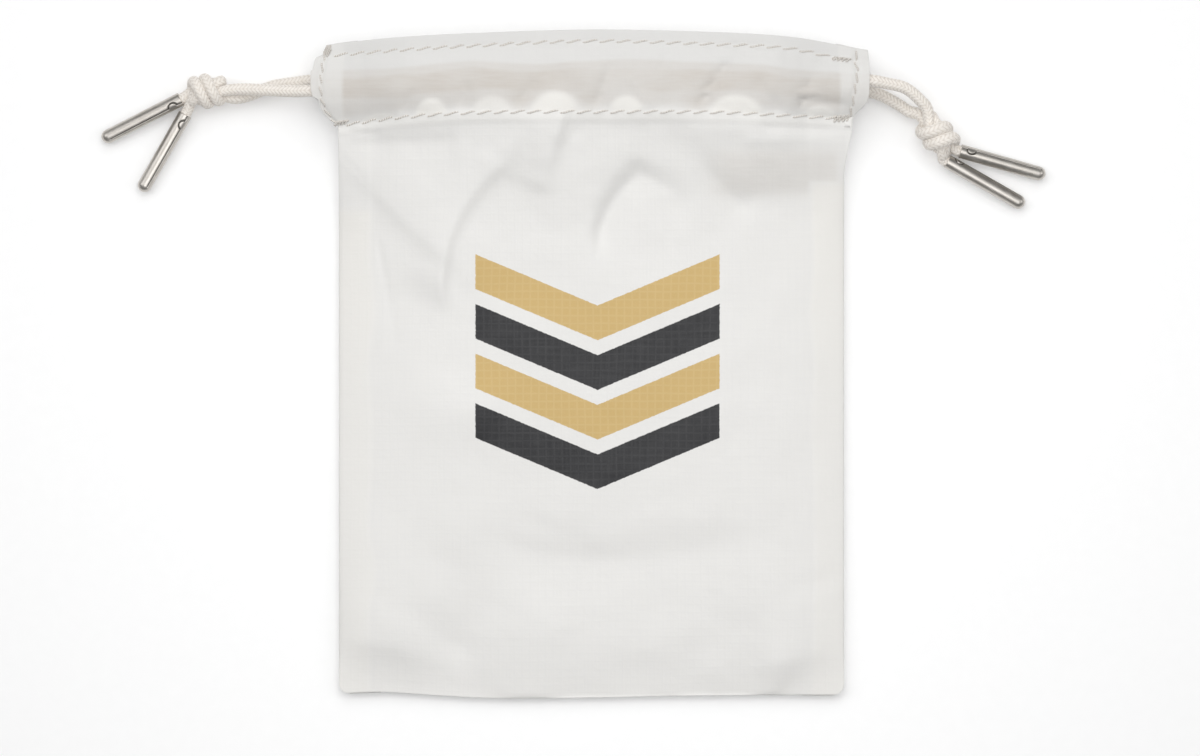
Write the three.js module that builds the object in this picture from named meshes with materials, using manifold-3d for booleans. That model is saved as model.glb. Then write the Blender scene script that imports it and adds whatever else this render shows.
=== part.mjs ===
// A drawstring pouch of thin ripstop cloth, lying on its back with its mouth towards +Y.
// Two panels are joined along the sides and the bottom. Each panel's top is turned over into a
// casing, and two drawcords run through both casings. Each cord leaves the casings on one side
// as two strands, which are tied together in one overhand knot and end in metal cord ends.
// Millimetres, +X right, +Y towards the mouth, +Z up. The origin is under the middle of the
// cloth, on the surface that the pouch lies on.

import * as THREE from "three";
import { mergeVertices } from "three/addons/utils/BufferGeometryUtils.js";
import Module from "manifold-3d";

const wasm = await Module();
wasm.setup();

// Driving dimensions of the cloth
const CLOTH = 1.0; // wall of one layer
const GAP = 0.3; // clearance between neighbouring pieces
const BODY_HALF = 63.2; // half the width of the body between its side seams
const CASING_HALF = 69.1; // half the width of the casings, which flare past the side seams
const BOTTOM = -82.9; // y of the folded bottom edge
const CORNER = 2.4; // radius of the two bottom corners, seen from above
const SEAM_Z = 2.2; // height of the side seam along most of the body
const SEAM_TOP_Z = 6.3; // height of the side seam where it meets the casings
const SEAM_LIFT_FROM = 30; // y where the side seam starts to climb to that height
const SHOULDER = 8; // how quickly the front rises from its seams: 63 % of the way at this distance
const BACK_CURL = 9; // width of the strip of the back panel that curls up to the seam

// Driving dimensions of the casings and the mouth
const TUNNEL_EDGE = 0.2; // half height of the tunnel beside its stitches
const MOUTH_GAP = 4.8; // height of the open mouth over its middle
const MOUTH_GAP_END = 1.5; // height of the slit between the casings' ends
const MOUTH_FLAT = 44; // half the width over which the mouth has its full height
const SLIT_FROM = 56; // |x| where the inner walls stop, so that a cord can turn back there

// Driving dimensions of the cords
const CORD = 3.0; // diameter
const STRAND_LOW = 67.9; // y of the lower of the two strands in each tunnel
const STRAND_HIGH = 71.3; // y of the upper one
const TURN_BACK = 58; // |x| where a cord starts to turn from one casing to the other
const CORD_SIDES = 8;
const KNOT_CORD = 2.66; // the cord is drawn thinner inside its knot
const KNOT_HEIGHT = 4.75; // the knot's middle above the surface
const COLLAR = 3.15; // radius of the knot's wrap, to the middle of the cord
const KNOT_CORE = 3.7; // radius of the solid middle that the wrap is pulled into
const BALL_AROUND = 18; // faces of a knot's outer shape
const BALL_UP = 16;

// Driving dimensions of the metal cord ends
const TIP_LENGTH = 22.2;
const TIP_RADIUS = 1.75;
const TIP_BORE = 1.45;
const TIP_DEPTH = 8;
const TIP_SIDES = 12;
const TIP_MOUTH_Z = 2.75; // the mouth is held up a little by the knot
const TAIL_IN_TIP = 5; // how far the cord runs into a tip
const TAIL_RADIUS = 1.08; // the cord's radius where the tip squeezes it

// The casings from left to right: their top edge, and the stitches that bound the tunnel.
const MOUTH_ROWS = [
  { x: -69.1, top: 76.4, upper: 75.2, lower: 65.0 },
  { x: -66.0, top: 78.6, upper: 76.5, lower: 61.6 },
  { x: -62.0, top: 79.7, upper: 77.0, lower: 59.5 },
  { x: -50.0, top: 80.9, upper: 77.8, lower: 61.1 },
  { x: -30.0, top: 82.0, upper: 79.0, lower: 62.4 },
  { x: 0.0, top: 82.9, upper: 80.2, lower: 62.6 },
  { x: 30.0, top: 82.3, upper: 79.4, lower: 62.5 },
  { x: 50.0, top: 81.1, upper: 78.3, lower: 61.7 },
  { x: 62.0, top: 79.2, upper: 75.9, lower: 61.2 },
  { x: 66.0, top: 78.3, upper: 75.4, lower: 62.2 },
  { x: 69.1, top: 77.6, upper: 75.2, lower: 64.8 },
];

// A casing across its tunnel: the share of the way from the lower to the upper stitches, and half
// the tunnel's height there.
const TUNNEL_ROWS = [
  { share: 0.08, half: TUNNEL_EDGE },
  { share: 0.2, half: 1.7 },
  { share: 0.44, half: 1.8 },
  { share: 0.69, half: 1.74 },
  { share: 0.84, half: 0.95 },
  { share: 0.94, half: TUNNEL_EDGE },
];

// Height of the inside of the front panel above the side seams, from the bottom to the casing.
const FILL_ROWS = [
  { y: -82.9, inside: 3.9 },
  { y: -62.0, inside: 4.8 },
  { y: -30.0, inside: 6.0 },
  { y: 0.0, inside: 7.2 },
  { y: 35.0, inside: 9.2 },
  { y: 50.0, inside: 11.2 },
  { y: 63.0, inside: 13.1 },
];

// The folds of the front panel: a line from one point to another, how high it stands (below zero
// for a valley) and half its width.
const FOLD_ROWS = [
  { name: "left corner", fromX: -62.5, fromY: 52, toX: -40, toY: 32.5, height: -1.2, half: 3.0 },
  { name: "left slant", fromX: -36.5, fromY: 25, toX: -19, toY: 52, height: -1.1, half: 3.2 },
  { name: "under casing", fromX: -11, fromY: 45, toX: -6, toY: 60, height: -0.7, half: 3.0 },
  { name: "right crescent", fromX: 4, fromY: 40, toX: 13, toY: 50, height: -1.0, half: 3.2 },
  { name: "crescent tail", fromX: 13, fromY: 50, toX: 21, toY: 43, height: -0.8, half: 3.2 },
  { name: "right hollow", fromX: 27, fromY: 42, toX: 58, toY: 41, height: -1.5, half: 6.5 },
  { name: "right ridge", fromX: 38, fromY: 54.5, toX: 61, toY: 54, height: 0.6, half: 3.5 },
  { name: "left hem", fromX: -58, fromY: 56.5, toX: -36, toY: 55, height: -0.8, half: 3.6 },
  { name: "below print", fromX: -33, fromY: -49, toX: 38, toY: -50, height: -0.9, half: 6.0 },
  { name: "low left", fromX: -52, fromY: -58, toX: -34, toY: -70, height: -0.5, half: 6.0 },
  { name: "low right", fromX: 36, fromY: -66, toX: 52, toY: -60, height: -0.5, half: 6.0 },
];

// Ripples of the header above the upper stitches: wavelength, height and phase.
const RIPPLE_ROWS = [
  { length: 31, height: 0.45, phase: 0.6 },
  { length: 19, height: 0.25, phase: 2.1 },
];

// The overhand knot that both strands are tied in, as its own frame sees it: along runs from the
// strands to the tips, side is level and up is up. Each row is a place of the pair of strands, and
// the spread columns give half the step from one strand to the other.
const COLLAR_SPREAD = 1.6;
const CORE_SIDE = 1.05;
const CORE_SPREAD = 1.05;
const ENTRY_SPREAD = 1.0; // turned over where the front strand comes in on the other hand
const KNOT_ROWS = [
  { along: -6.8, side: 1.0, up: 0.2, spreadAlong: 0.0, spreadSide: ENTRY_SPREAD, spreadUp: 1.25 },
  { along: -2.2, side: CORE_SIDE, up: 0.0, spreadAlong: 0.0, spreadSide: 0.0, spreadUp: CORE_SPREAD },
  { along: 2.0, side: CORE_SIDE, up: 0.0, spreadAlong: 0.0, spreadSide: 0.0, spreadUp: CORE_SPREAD },
  { along: 3.7, side: 1.6, up: -1.0, spreadAlong: 1.0, spreadSide: 0.0, spreadUp: 0.6 },
  ...wrapRows(),
  { along: -3.7, side: -1.6, up: -1.0, spreadAlong: 1.0, spreadSide: 0.0, spreadUp: -0.6 },
  { along: -2.0, side: -CORE_SIDE, up: 0.0, spreadAlong: 0.0, spreadSide: 0.0, spreadUp: -CORE_SPREAD },
  { along: 2.4, side: -CORE_SIDE, up: -0.4, spreadAlong: 0.0, spreadSide: 0.4, spreadUp: -0.9 },
];

// The knot's wrap: a turn and a half of helix, which starts and ends underneath.
function wrapRows() {
  const rows = [];
  const steps = 9;
  const start = -0.36;
  const end = -2.64;
  const reach = 2.9;
  for (let i = 0; i <= steps; i++) {
    const angle = THREE.MathUtils.lerp(start, end, i / steps) * Math.PI;
    rows.push({
      along: THREE.MathUtils.lerp(reach, -reach, i / steps),
      side: COLLAR * Math.cos(angle),
      up: COLLAR * Math.sin(angle),
      spreadAlong: COLLAR_SPREAD,
      spreadSide: 0,
      spreadUp: 0,
    });
  }
  return rows;
}

// Where each side's knot and tips lie. The exits are the y where the strands leave the casings, and
// their points lead from there to the knot. A knot's hand is the way it winds, long stretches it, and
// entryShift moves the place where its strands come in.
const SIDES = [
  {
    name: "left",
    knot: { x: -96.4, y: 68.2, heading: 194, long: 0.88, hand: 1, frontHand: -1, entryShift: 1.2 },
    exits: { front: 68.1, back: 71.0 },
    front: [
      [-74, 68.0, 8.9],
      [-80, 68.3, 7.6],
      [-86, 68.6, 6.6],
    ],
    back: [
      [-74, 70.5, 2.5],
      [-80, 69.5, 2.3],
      [-86, 67.2, 2.6],
    ],
    tips: [
      { name: "upper", x: -102.9, y: 66.3, heading: 207 },
      { name: "lower", x: -101.8, y: 62.5, heading: 240 },
    ],
  },
  {
    name: "right",
    knot: { x: 86.7, y: 57.0, heading: -56, long: 1, hand: -1, frontHand: 1, entryShift: 1.3 },
    exits: { front: 70.6, back: 68.0 },
    front: [
      [73.5, 70.0, 9.0],
      [78.4, 68.8, 7.9],
      [82.4, 65.6, 6.8],
    ],
    back: [
      [73.0, 67.1, 2.6],
      [77.0, 64.9, 2.5],
      [79.6, 63.2, 2.9],
    ],
    tips: [
      { name: "upper", x: 92.4, y: 53.3, heading: -15.8 },
      { name: "lower", x: 89.2, y: 50.7, heading: -29.6 },
    ],
  },
];

// Small helpers

const { lerp, smoothstep, degToRad } = THREE.MathUtils;

// A column of a table at a place between its rows, eased from row to row.
function along(rows, key, column, at) {
  const last = rows.length - 1;
  if (at <= rows[0][key]) return rows[0][column];
  if (at >= rows[last][key]) return rows[last][column];
  const i = rows.findIndex((row) => row[key] > at) - 1;
  const a = rows[Math.max(i - 1, 0)];
  const b = rows[i];
  const c = rows[i + 1];
  const d = rows[Math.min(i + 2, last)];
  const step = c[key] - b[key];
  const t = (at - b[key]) / step;
  const slopeIn = ((c[column] - a[column]) / (c[key] - a[key])) * step;
  const slopeOut = ((d[column] - b[column]) / (d[key] - b[key])) * step;
  const t2 = t * t;
  const t3 = t2 * t;
  return (
    (2 * t3 - 3 * t2 + 1) * b[column] +
    (t3 - 2 * t2 + t) * slopeIn +
    (3 * t2 - 2 * t3) * c[column] +
    (t3 - t2) * slopeOut
  );
}

function meshGeometry(points, faces) {
  const geometry = new THREE.BufferGeometry();
  geometry.setAttribute("position", new THREE.Float32BufferAttribute(points.flat(), 3));
  geometry.setIndex(faces.flat());
  return geometry;
}

// A closed solid through rings of equal length, each a closed outline, with flat end caps.
function loft(rings, capOutline) {
  const count = rings[0].length;
  const faces = [];
  for (let i = 0; i + 1 < rings.length; i++) {
    for (let j = 0; j < count; j++) {
      const a = i * count + j;
      const b = i * count + ((j + 1) % count);
      faces.push([a, b, a + count], [b, b + count, a + count]);
    }
  }
  const last = (rings.length - 1) * count;
  const cap = (ring) => THREE.ShapeUtils.triangulateShape(ring.map(capOutline), []);
  for (const [a, b, c] of cap(rings[0])) faces.push([a, c, b]);
  for (const [a, b, c] of cap(rings[rings.length - 1])) faces.push([last + a, last + b, last + c]);
  return meshGeometry(rings.flat(), faces);
}

function toSolid(geometry) {
  const bare = new THREE.BufferGeometry();
  bare.setAttribute("position", geometry.getAttribute("position"));
  if (geometry.index) bare.setIndex(geometry.index);
  const merged = mergeVertices(bare, 1e-3);
  return new wasm.Manifold(
    new wasm.Mesh({
      numProp: 3,
      vertProperties: merged.attributes.position.array,
      triVerts: new Uint32Array(merged.index.array),
    }),
  );
}

function toGeometry(solid) {
  const mesh = solid.getMesh();
  const geometry = new THREE.BufferGeometry();
  geometry.setAttribute("position", new THREE.BufferAttribute(mesh.vertProperties, 3));
  geometry.setIndex(new THREE.BufferAttribute(mesh.triVerts, 1));
  return geometry;
}

// The body's outline and height

// Half the body's width at y, narrowed by the round bottom corners.
function bodyHalf(y) {
  const rise = Math.max(0, CORNER - (y - BOTTOM));
  return BODY_HALF - CORNER + Math.sqrt(Math.max(0, CORNER * CORNER - rise * rise));
}

function seamZ(y) {
  return lerp(SEAM_Z, SEAM_TOP_Z, smoothstep(y, SEAM_LIFT_FROM, MOUTH_ROWS[2].lower));
}

// How far along its climb from the seams the front is at a point, from 0 to 1.
function rise(x, y) {
  const side = Math.max(0, BODY_HALF - Math.abs(x));
  const bottom = Math.max(0, y - BOTTOM);
  return (1 - Math.exp(-side / SHOULDER)) * (1 - Math.exp(-bottom / SHOULDER));
}

function foldHeight(x, y) {
  let sum = 0;
  for (const fold of FOLD_ROWS) {
    const dx = fold.toX - fold.fromX;
    const dy = fold.toY - fold.fromY;
    const length2 = dx * dx + dy * dy;
    const t = THREE.MathUtils.clamp(((x - fold.fromX) * dx + (y - fold.fromY) * dy) / length2, 0, 1);
    const away = Math.hypot(x - fold.fromX - t * dx, y - fold.fromY - t * dy) / fold.half;
    sum += fold.height * Math.exp(-away * away) * (1 - 0.5 * Math.abs(2 * t - 1));
  }
  return sum;
}

// The inside of the front panel.
function frontInside(x, y) {
  const seam = seamZ(y) + GAP / 2;
  const full = along(FILL_ROWS, "y", "inside", y) * mouthShare(x, y) + foldHeight(x, y);
  return lerp(seam, full, rise(x, y));
}

// Towards the casing the front panel takes the arch of the mouth, which is lower at the sides.
function mouthShare(x, y) {
  const arch = mouthArch(x) / mouthArch(0);
  return lerp(1, arch, smoothstep(y, SEAM_LIFT_FROM, MOUTH_ROWS[5].lower));
}

function mouthArch(x) {
  const gap = lerp(MOUTH_GAP, MOUTH_GAP_END, smoothstep(Math.abs(x), MOUTH_FLAT, BODY_HALF));
  return gap + SEAM_TOP_Z;
}

// The underside of the back panel: flat where it rests, curled up to the seams.
function backOutside(x, y) {
  const edge = Math.min(BODY_HALF - Math.abs(x), y - BOTTOM);
  const curl = Math.max(0, 1 - Math.max(0, edge) / BACK_CURL);
  return Math.max(0, seamZ(y) - GAP / 2 - 1.15 * CLOTH) * curl * curl;
}

// The height of one layer measured upwards, so that it is a cloth's thickness across the slope.
function layer(surface, x, y) {
  const d = 0.5;
  const slopeX = (surface(x + d, y) - surface(x - d, y)) / (2 * d);
  const slopeY = (surface(x, y + d) - surface(x, y - d)) / (2 * d);
  return CLOTH * Math.min(1.35, Math.hypot(1, slopeX, slopeY));
}

// Panels

// A panel is a grid over the body's outline, with a lower and an upper surface joined at the rim.
function panelGeometry(columns, rows, lower) {
  const points = [];
  const faces = [];
  const spaced = (t) => lerp(t, (1 - Math.cos(Math.PI * t)) / 2, 0.55);
  for (const level of [0, 1]) {
    for (let j = 0; j <= rows; j++) {
      for (let i = 0; i <= columns; i++) {
        const across = 2 * spaced(i / columns) - 1;
        const top = along(MOUTH_ROWS, "x", "lower", across * BODY_HALF) - GAP / 2;
        const y = lerp(BOTTOM, top, spaced(j / rows));
        const x = across * bodyHalf(y);
        const z = lower(x, y);
        points.push([x, y, level ? z + layer(lower, x, y) : z]);
      }
    }
  }
  const wide = columns + 1;
  const upper = wide * (rows + 1);
  for (let j = 0; j < rows; j++) {
    for (let i = 0; i < columns; i++) {
      const a = j * wide + i;
      const quad = [a, a + 1, a + wide + 1, a + wide];
      faces.push([quad[0], quad[2], quad[1]], [quad[0], quad[3], quad[2]]);
      const [p, q, r, s] = quad.map((k) => k + upper);
      faces.push([p, q, r], [p, r, s]);
    }
  }
  const rim = [];
  for (let i = 0; i < columns; i++) rim.push([i, i + 1]);
  for (let j = 0; j < rows; j++) rim.push([j * wide + columns, (j + 1) * wide + columns]);
  for (let i = columns; i > 0; i--) rim.push([rows * wide + i, rows * wide + i - 1]);
  for (let j = rows; j > 0; j--) rim.push([j * wide, (j - 1) * wide]);
  for (const [a, b] of rim) faces.push([a, b, b + upper], [a, b + upper, a + upper]);
  return meshGeometry(points, faces);
}

// Casings

const CASING_STEPS = [0, 11, 22, 34, 45, 52, 58, BODY_HALF, 66.4, CASING_HALF];
const CASING_STATIONS = [...CASING_STEPS.slice(1).toReversed().map((x) => -x), ...CASING_STEPS];

function headerRipple(x) {
  const wave = (row) => row.height * Math.sin((2 * Math.PI * x) / row.length + row.phase);
  return RIPPLE_ROWS.reduce((sum, row) => sum + wave(row), 0);
}

// The tunnel's middle height in the front casing at x.
function frontTunnelZ(x) {
  const gap = lerp(MOUTH_GAP, MOUTH_GAP_END, smoothstep(Math.abs(x), MOUTH_FLAT, BODY_HALF));
  return 2 * casingHalf() + gap + casingHalf();
}

function casingHalf() {
  return Math.max(...TUNNEL_ROWS.map((row) => row.half)) + CLOTH;
}

// A casing's section at x as rows of y, middle height and half thickness, from the lower stitches
// to the top edge. With tunnelOnly the section is that of the tunnel.
function casingSection(x, front, tunnelOnly) {
  const lower = along(MOUTH_ROWS, "x", "lower", x) + GAP / 2;
  const upper = along(MOUTH_ROWS, "x", "upper", x);
  const top = along(MOUTH_ROWS, "x", "top", x);
  const inBody = THREE.MathUtils.clamp(x, -BODY_HALF, BODY_HALF);
  const seam = seamZ(lower);
  const seamMiddle = front
    ? Math.max(frontInside(inBody, lower) + CLOTH / 2, seam + GAP / 2 + CLOTH)
    : Math.min(backOutside(inBody, lower) + CLOTH, seam - GAP / 2 - CLOTH);
  const rows = tunnelOnly
    ? TUNNEL_ROWS
    : [{ share: 0, half: 0 }, ...TUNNEL_ROWS, { share: 1, half: 0 }];
  const wall = tunnelOnly ? 0 : CLOTH;
  const section = rows.map(({ share, half }) => {
    const level = front ? frontTunnelZ(x) : half + CLOTH;
    const pull = Math.pow(Math.max(0, 1 - share / 0.35), 2);
    const pulled = lerp(level, seamMiddle, pull);
    const z = front ? pulled : Math.max(level, pulled); // the back casing rests on the surface
    return { y: lerp(lower, upper, share), z, half: half + wall };
  });
  if (!tunnelOnly) {
    const end = section[section.length - 1];
    const ripple = front ? headerRipple(x) : Math.abs(headerRipple(x));
    section.push({ y: top, z: end.z + ripple, half: 0.9 * CLOTH });
  }
  return section;
}

function casingSolid(front) {
  const ring = (x, section) => [
    ...section.map((row) => [x, row.y, row.z - row.half]),
    ...section.toReversed().map((row) => [x, row.y, row.z + row.half]),
  ];
  const yz = ([, y, z]) => new THREE.Vector2(y, z);
  const outer = loft(
    CASING_STATIONS.map((x) => ring(x, casingSection(x, front, false))),
    yz,
  );
  const past = 1.02; // the tunnel runs out through both ends
  const tunnel = loft(
    CASING_STATIONS.map((x) => ring(Math.abs(x) === CASING_HALF ? past * x : x, casingSection(x, front, true))),
    yz,
  );
  let solid = toSolid(outer).subtract(toSolid(tunnel));
  for (const side of [-1, 1]) solid = solid.subtract(toSolid(slitGeometry(side, front)));
  return solid;
}

// At each end the inner wall of a casing is left open, where the other cord turns back.
function slitGeometry(side, front) {
  const long = CASING_HALF - SLIT_FROM + 2;
  const low = STRAND_LOW - CORD / 2 - 0.8;
  const high = STRAND_HIGH + CORD / 2 + 0.8;
  const deep = 8;
  const level = front ? frontTunnelZ(CASING_HALF) : casingHalf();
  const box = new THREE.BoxGeometry(long, high - low, deep);
  const away = front ? -deep / 2 : deep / 2;
  return box.translate(side * (SLIT_FROM + long / 2), (low + high) / 2, level + away);
}

// Cords

// A tube of constant radius along a curve.
function tube(curve, radius, steps) {
  const outline = new THREE.Shape();
  for (let i = 0; i < CORD_SIDES; i++) {
    const angle = (2 * Math.PI * i) / CORD_SIDES;
    const corner = [radius * Math.cos(angle), radius * Math.sin(angle)];
    if (i) outline.lineTo(...corner);
    else outline.moveTo(...corner);
  }
  return new THREE.ExtrudeGeometry(outline, { steps, extrudePath: curve, bevelEnabled: false });
}

function smoothCurve(points) {
  return new THREE.CatmullRomCurve3(points, false, "centripetal");
}

// The knot's frame: turns a row of along, side and up into a point of the part.
function knotFrame(knot) {
  const heading = degToRad(knot.heading);
  const ahead = new THREE.Vector3(Math.cos(heading), Math.sin(heading), 0);
  const side = new THREE.Vector3(-ahead.y, ahead.x, 0);
  const middle = new THREE.Vector3(knot.x, knot.y, KNOT_HEIGHT);
  return (a, s, u) => middle.clone().addScaledVector(ahead, a).addScaledVector(side, s).setZ(KNOT_HEIGHT + u);
}

// One strand's route through the knot: strand is +1 or -1.
function knotRoute(knot, strand) {
  const place = knotFrame(knot);
  return KNOT_ROWS.map((row, i) =>
    place(
      knot.long * (row.along + strand * row.spreadAlong),
      knot.hand * row.side + (i ? 0 : knot.entryShift) + strand * knot.frontHand * row.spreadSide,
      row.up + strand * row.spreadUp,
    ),
  );
}

function tipFrame(tip) {
  const heading = degToRad(tip.heading);
  const drop = Math.asin((TIP_MOUTH_Z - TIP_RADIUS - 0.05) / TIP_LENGTH);
  const ahead = new THREE.Vector3(
    Math.cos(heading) * Math.cos(drop),
    Math.sin(heading) * Math.cos(drop),
    -Math.sin(drop),
  );
  return { mouth: new THREE.Vector3(tip.x, tip.y, TIP_MOUTH_Z), ahead };
}

// The cord from knot to knot again: through one casing, back through the other.
function drawcordCurve(side) {
  const sign = side.name === "left" ? -1 : 1;
  const frontY = sign < 0 ? STRAND_LOW : STRAND_HIGH;
  const backY = sign < 0 ? STRAND_HIGH : STRAND_LOW;
  const backZ = casingHalf();
  const inFront = (x) => new THREE.Vector3(sign * x, frontY, frontTunnelZ(x));
  const inBack = (x) => new THREE.Vector3(sign * x, backY, backZ);
  const held = [BODY_HALF, 58, 52, 45, 34, 12, -12, -34, -45, -52, -TURN_BACK];
  const turnMiddle = inFront(-TURN_BACK).add(inBack(-TURN_BACK)).multiplyScalar(0.5);
  const turnReach = inFront(-TURN_BACK).sub(turnMiddle);
  const turn = [45, 90, 135].map((degrees) => {
    const angle = degToRad(degrees);
    const point = turnMiddle.clone().addScaledVector(turnReach, Math.cos(angle));
    point.x -= sign * turnReach.length() * Math.sin(angle);
    return point;
  });
  const entry = [1, -1].map((strand) => knotRoute(side.knot, strand)[0]);
  return smoothCurve([
    entry[0],
    ...side.front.toReversed().map((p) => new THREE.Vector3(...p)),
    inFront(CASING_HALF + 1).setY(side.exits.front),
    ...held.map(inFront),
    ...turn,
    ...held.toReversed().map(inBack),
    inBack(CASING_HALF + 1).setY(side.exits.back),
    ...side.back.map((p) => new THREE.Vector3(...p)),
    entry[1],
  ]);
}

// The knot's outer shape: a ball whose points are pushed out, each in its own direction, to the
// farthest cord that lies there.
function knotBall(middle, curves) {
  const places = curves.flatMap((curve) => curve.getSpacedPoints(90)).map((place) => place.sub(middle));
  const ball = new THREE.SphereGeometry(1, BALL_AROUND, BALL_UP);
  const points = ball.getAttribute("position");
  const direction = new THREE.Vector3();
  for (let i = 0; i < points.count; i++) {
    direction.fromBufferAttribute(points, i).normalize();
    let reach = KNOT_CORE;
    for (const place of places) {
      const along = place.dot(direction);
      const left = (KNOT_CORD / 2) ** 2 - (place.lengthSq() - along ** 2);
      if (left > 0) reach = Math.max(reach, along + Math.sqrt(left));
    }
    points.setXYZ(i, ...direction.multiplyScalar(reach).add(middle));
  }
  return ball;
}

// The knot, with the ends of its two strands coming in and its two tails in the tips.
function knotSolid(side) {
  const middle = knotFrame(side.knot)(0, 0, 0);
  const routes = [1, -1].map((strand) => knotRoute(side.knot, strand));
  let solid = toSolid(knotBall(middle, routes.map((route) => smoothCurve(route.slice(1)))));
  routes.forEach((route, k) => {
    const start = route[0].clone().lerp(route[1], (3 * GAP) / route[0].distanceTo(route[1]));
    const entry = tube(new THREE.LineCurve3(start, start.clone().lerp(middle, 0.8)), KNOT_CORD / 2, 1);
    const { mouth, ahead } = tipFrame(side.tips[k]);
    const inLine = (reach) => mouth.clone().addScaledVector(ahead, reach);
    const root = middle.clone().lerp(inLine(-2.2), 0.2);
    const tail = tube(smoothCurve([root, inLine(-2.4), inLine(-1)]), KNOT_CORD / 2, 4);
    const held = tube(new THREE.LineCurve3(inLine(-1.7), inLine(TAIL_IN_TIP)), TAIL_RADIUS, 1);
    for (const part of [entry, tail, held]) solid = solid.add(toSolid(part));
  });
  return solid;
}

// Metal cord ends

// A rolled tube with a closed round nose, open at the end that takes the cord.
function tipGeometry() {
  const nose = TIP_LENGTH - TIP_RADIUS;
  const profile = [new THREE.Vector2(0, TIP_DEPTH), new THREE.Vector2(TIP_BORE, TIP_DEPTH)];
  profile.push(new THREE.Vector2(TIP_BORE, 0), new THREE.Vector2(TIP_RADIUS, 0));
  const noseSteps = 4;
  for (let i = 0; i < noseSteps; i++) {
    const angle = (Math.PI / 2) * (i / noseSteps);
    profile.push(new THREE.Vector2(TIP_RADIUS * Math.cos(angle), nose + TIP_RADIUS * Math.sin(angle)));
  }
  profile.push(new THREE.Vector2(0, TIP_LENGTH));
  return new THREE.LatheGeometry(profile, TIP_SIDES);
}

// The assembly

const cloth = new THREE.MeshStandardMaterial({ color: 0xe9e8e4, roughness: 0.62, metalness: 0 });
const cotton = new THREE.MeshStandardMaterial({ color: 0xe3dcd2, roughness: 0.92, metalness: 0 });
const nickel = new THREE.MeshStandardMaterial({ color: 0xb9b4ab, roughness: 0.28, metalness: 1 });

function piece(name, geometry, material) {
  const mesh = new THREE.Mesh(geometry, material);
  mesh.name = name;
  return mesh;
}

const pouch = new THREE.Group();
pouch.add(
  piece("front_panel", panelGeometry(20, 22, frontInside), cloth),
  piece("back_panel", panelGeometry(12, 12, backOutside), cloth),
  piece("front_casing", toGeometry(casingSolid(true)), cloth),
  piece("back_casing", toGeometry(casingSolid(false)), cloth),
);

for (const side of SIDES) {
  pouch.add(piece(`${side.name}_drawcord`, tube(drawcordCurve(side), CORD / 2, 66), cotton));
  pouch.add(piece(`${side.name}_knot`, toGeometry(knotSolid(side)), cotton));
  for (const tip of side.tips) {
    const { mouth, ahead } = tipFrame(tip);
    const mesh = piece(`${side.name}_${tip.name}_tip`, tipGeometry(), nickel);
    mesh.position.copy(mouth);
    mesh.quaternion.setFromUnitVectors(new THREE.Vector3(0, 1, 0), ahead);
    pouch.add(mesh);
  }
}

export default pouch;
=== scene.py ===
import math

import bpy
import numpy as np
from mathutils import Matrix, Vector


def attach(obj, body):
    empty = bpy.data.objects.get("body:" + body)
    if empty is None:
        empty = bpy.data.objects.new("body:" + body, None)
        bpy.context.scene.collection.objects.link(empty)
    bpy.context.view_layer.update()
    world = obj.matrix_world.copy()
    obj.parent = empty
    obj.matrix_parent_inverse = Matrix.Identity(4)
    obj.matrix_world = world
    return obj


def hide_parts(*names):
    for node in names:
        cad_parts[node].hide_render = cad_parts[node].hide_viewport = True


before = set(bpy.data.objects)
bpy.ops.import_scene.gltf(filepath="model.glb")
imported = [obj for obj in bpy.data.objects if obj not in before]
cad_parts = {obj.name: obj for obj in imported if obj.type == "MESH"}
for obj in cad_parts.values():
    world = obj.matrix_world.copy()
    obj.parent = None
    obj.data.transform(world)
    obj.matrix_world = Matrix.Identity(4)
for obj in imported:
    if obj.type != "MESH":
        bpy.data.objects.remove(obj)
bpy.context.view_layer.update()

# Looks of a drawstring pouch of thin white ripstop cloth: two cloth sheets turned over into cord
# casings at the mouth, braided cotton drawcords in overhand knots, and rolled metal cord ends.
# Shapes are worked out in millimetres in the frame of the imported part: +X right, +Y towards the
# mouth, +Z up. add_piece() turns them into metres.

MM = 0.001

# Sizes shared with the part's source
BODY_HALF = 63.2
BOTTOM = -82.9
CORNER = 2.4
SEAM_TOP_Z = 6.3
SEAM_LIFT_FROM = 30.0
SEAM_LIFT_TO = 59.5
BACK_CURL = 9.0
MOUTH_GAP = 4.8
MOUTH_GAP_END = 1.5
MOUTH_FLAT = 44.0
CASING_HALF = 69.1
CASING_HALF_HEIGHT = 2.8
CORD = 3.0
STRAND_LOW = 67.9
STRAND_HIGH = 71.3
TURN_BACK = 58.0
KNOT_HEIGHT = 4.75
COLLAR = 3.15
TIP_LENGTH = 22.2
TIP_RADIUS = 1.75
TIP_BORE = 1.45
TIP_MOUTH_Z = 2.75

# Sizes of the visible cloth
CLOTH = 0.2  # thickness of one layer
FOLD = 0.3  # step between two layers that lie on each other
ALLOWANCE = 8.0  # cloth turned under along the sides and the casing's ends
BOTTOM_ALLOWANCE = 5.0
HEM = 2.2  # cloth that runs on below the lower stitches, inside
EDGE_STEP = 0.52  # how far the outer layer stands off the seam line at the sides
SEAM_Z = 2.4  # height of the side and bottom seams, 0.2 mm above that of the solids
SEAM_PULL = 1.2  # how much the gathered casing pulls the side seams up
SEAM_PULL_FROM = 42.0
SEAM_PULL_TO = 60.0
SIDE_STEP = 0.12  # how much the cloth turned under at the sides lifts the layer over it
HEM_STEP = 0.22  # and the same at the hem
EDGE_ROUND = 0.3  # how far in from a seam the front climbs steeply
EDGE_SHARE = 0.06  # the share of its climb on that steep edge
SHOULDER = 13.0  # how far in from the sides it climbs slowly
BOTTOM_SHOULDER = 0.25  # and how far from the bottom, in the middle
CORNER_SHOULDER = 11.0  # and at the bottom corners

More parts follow.
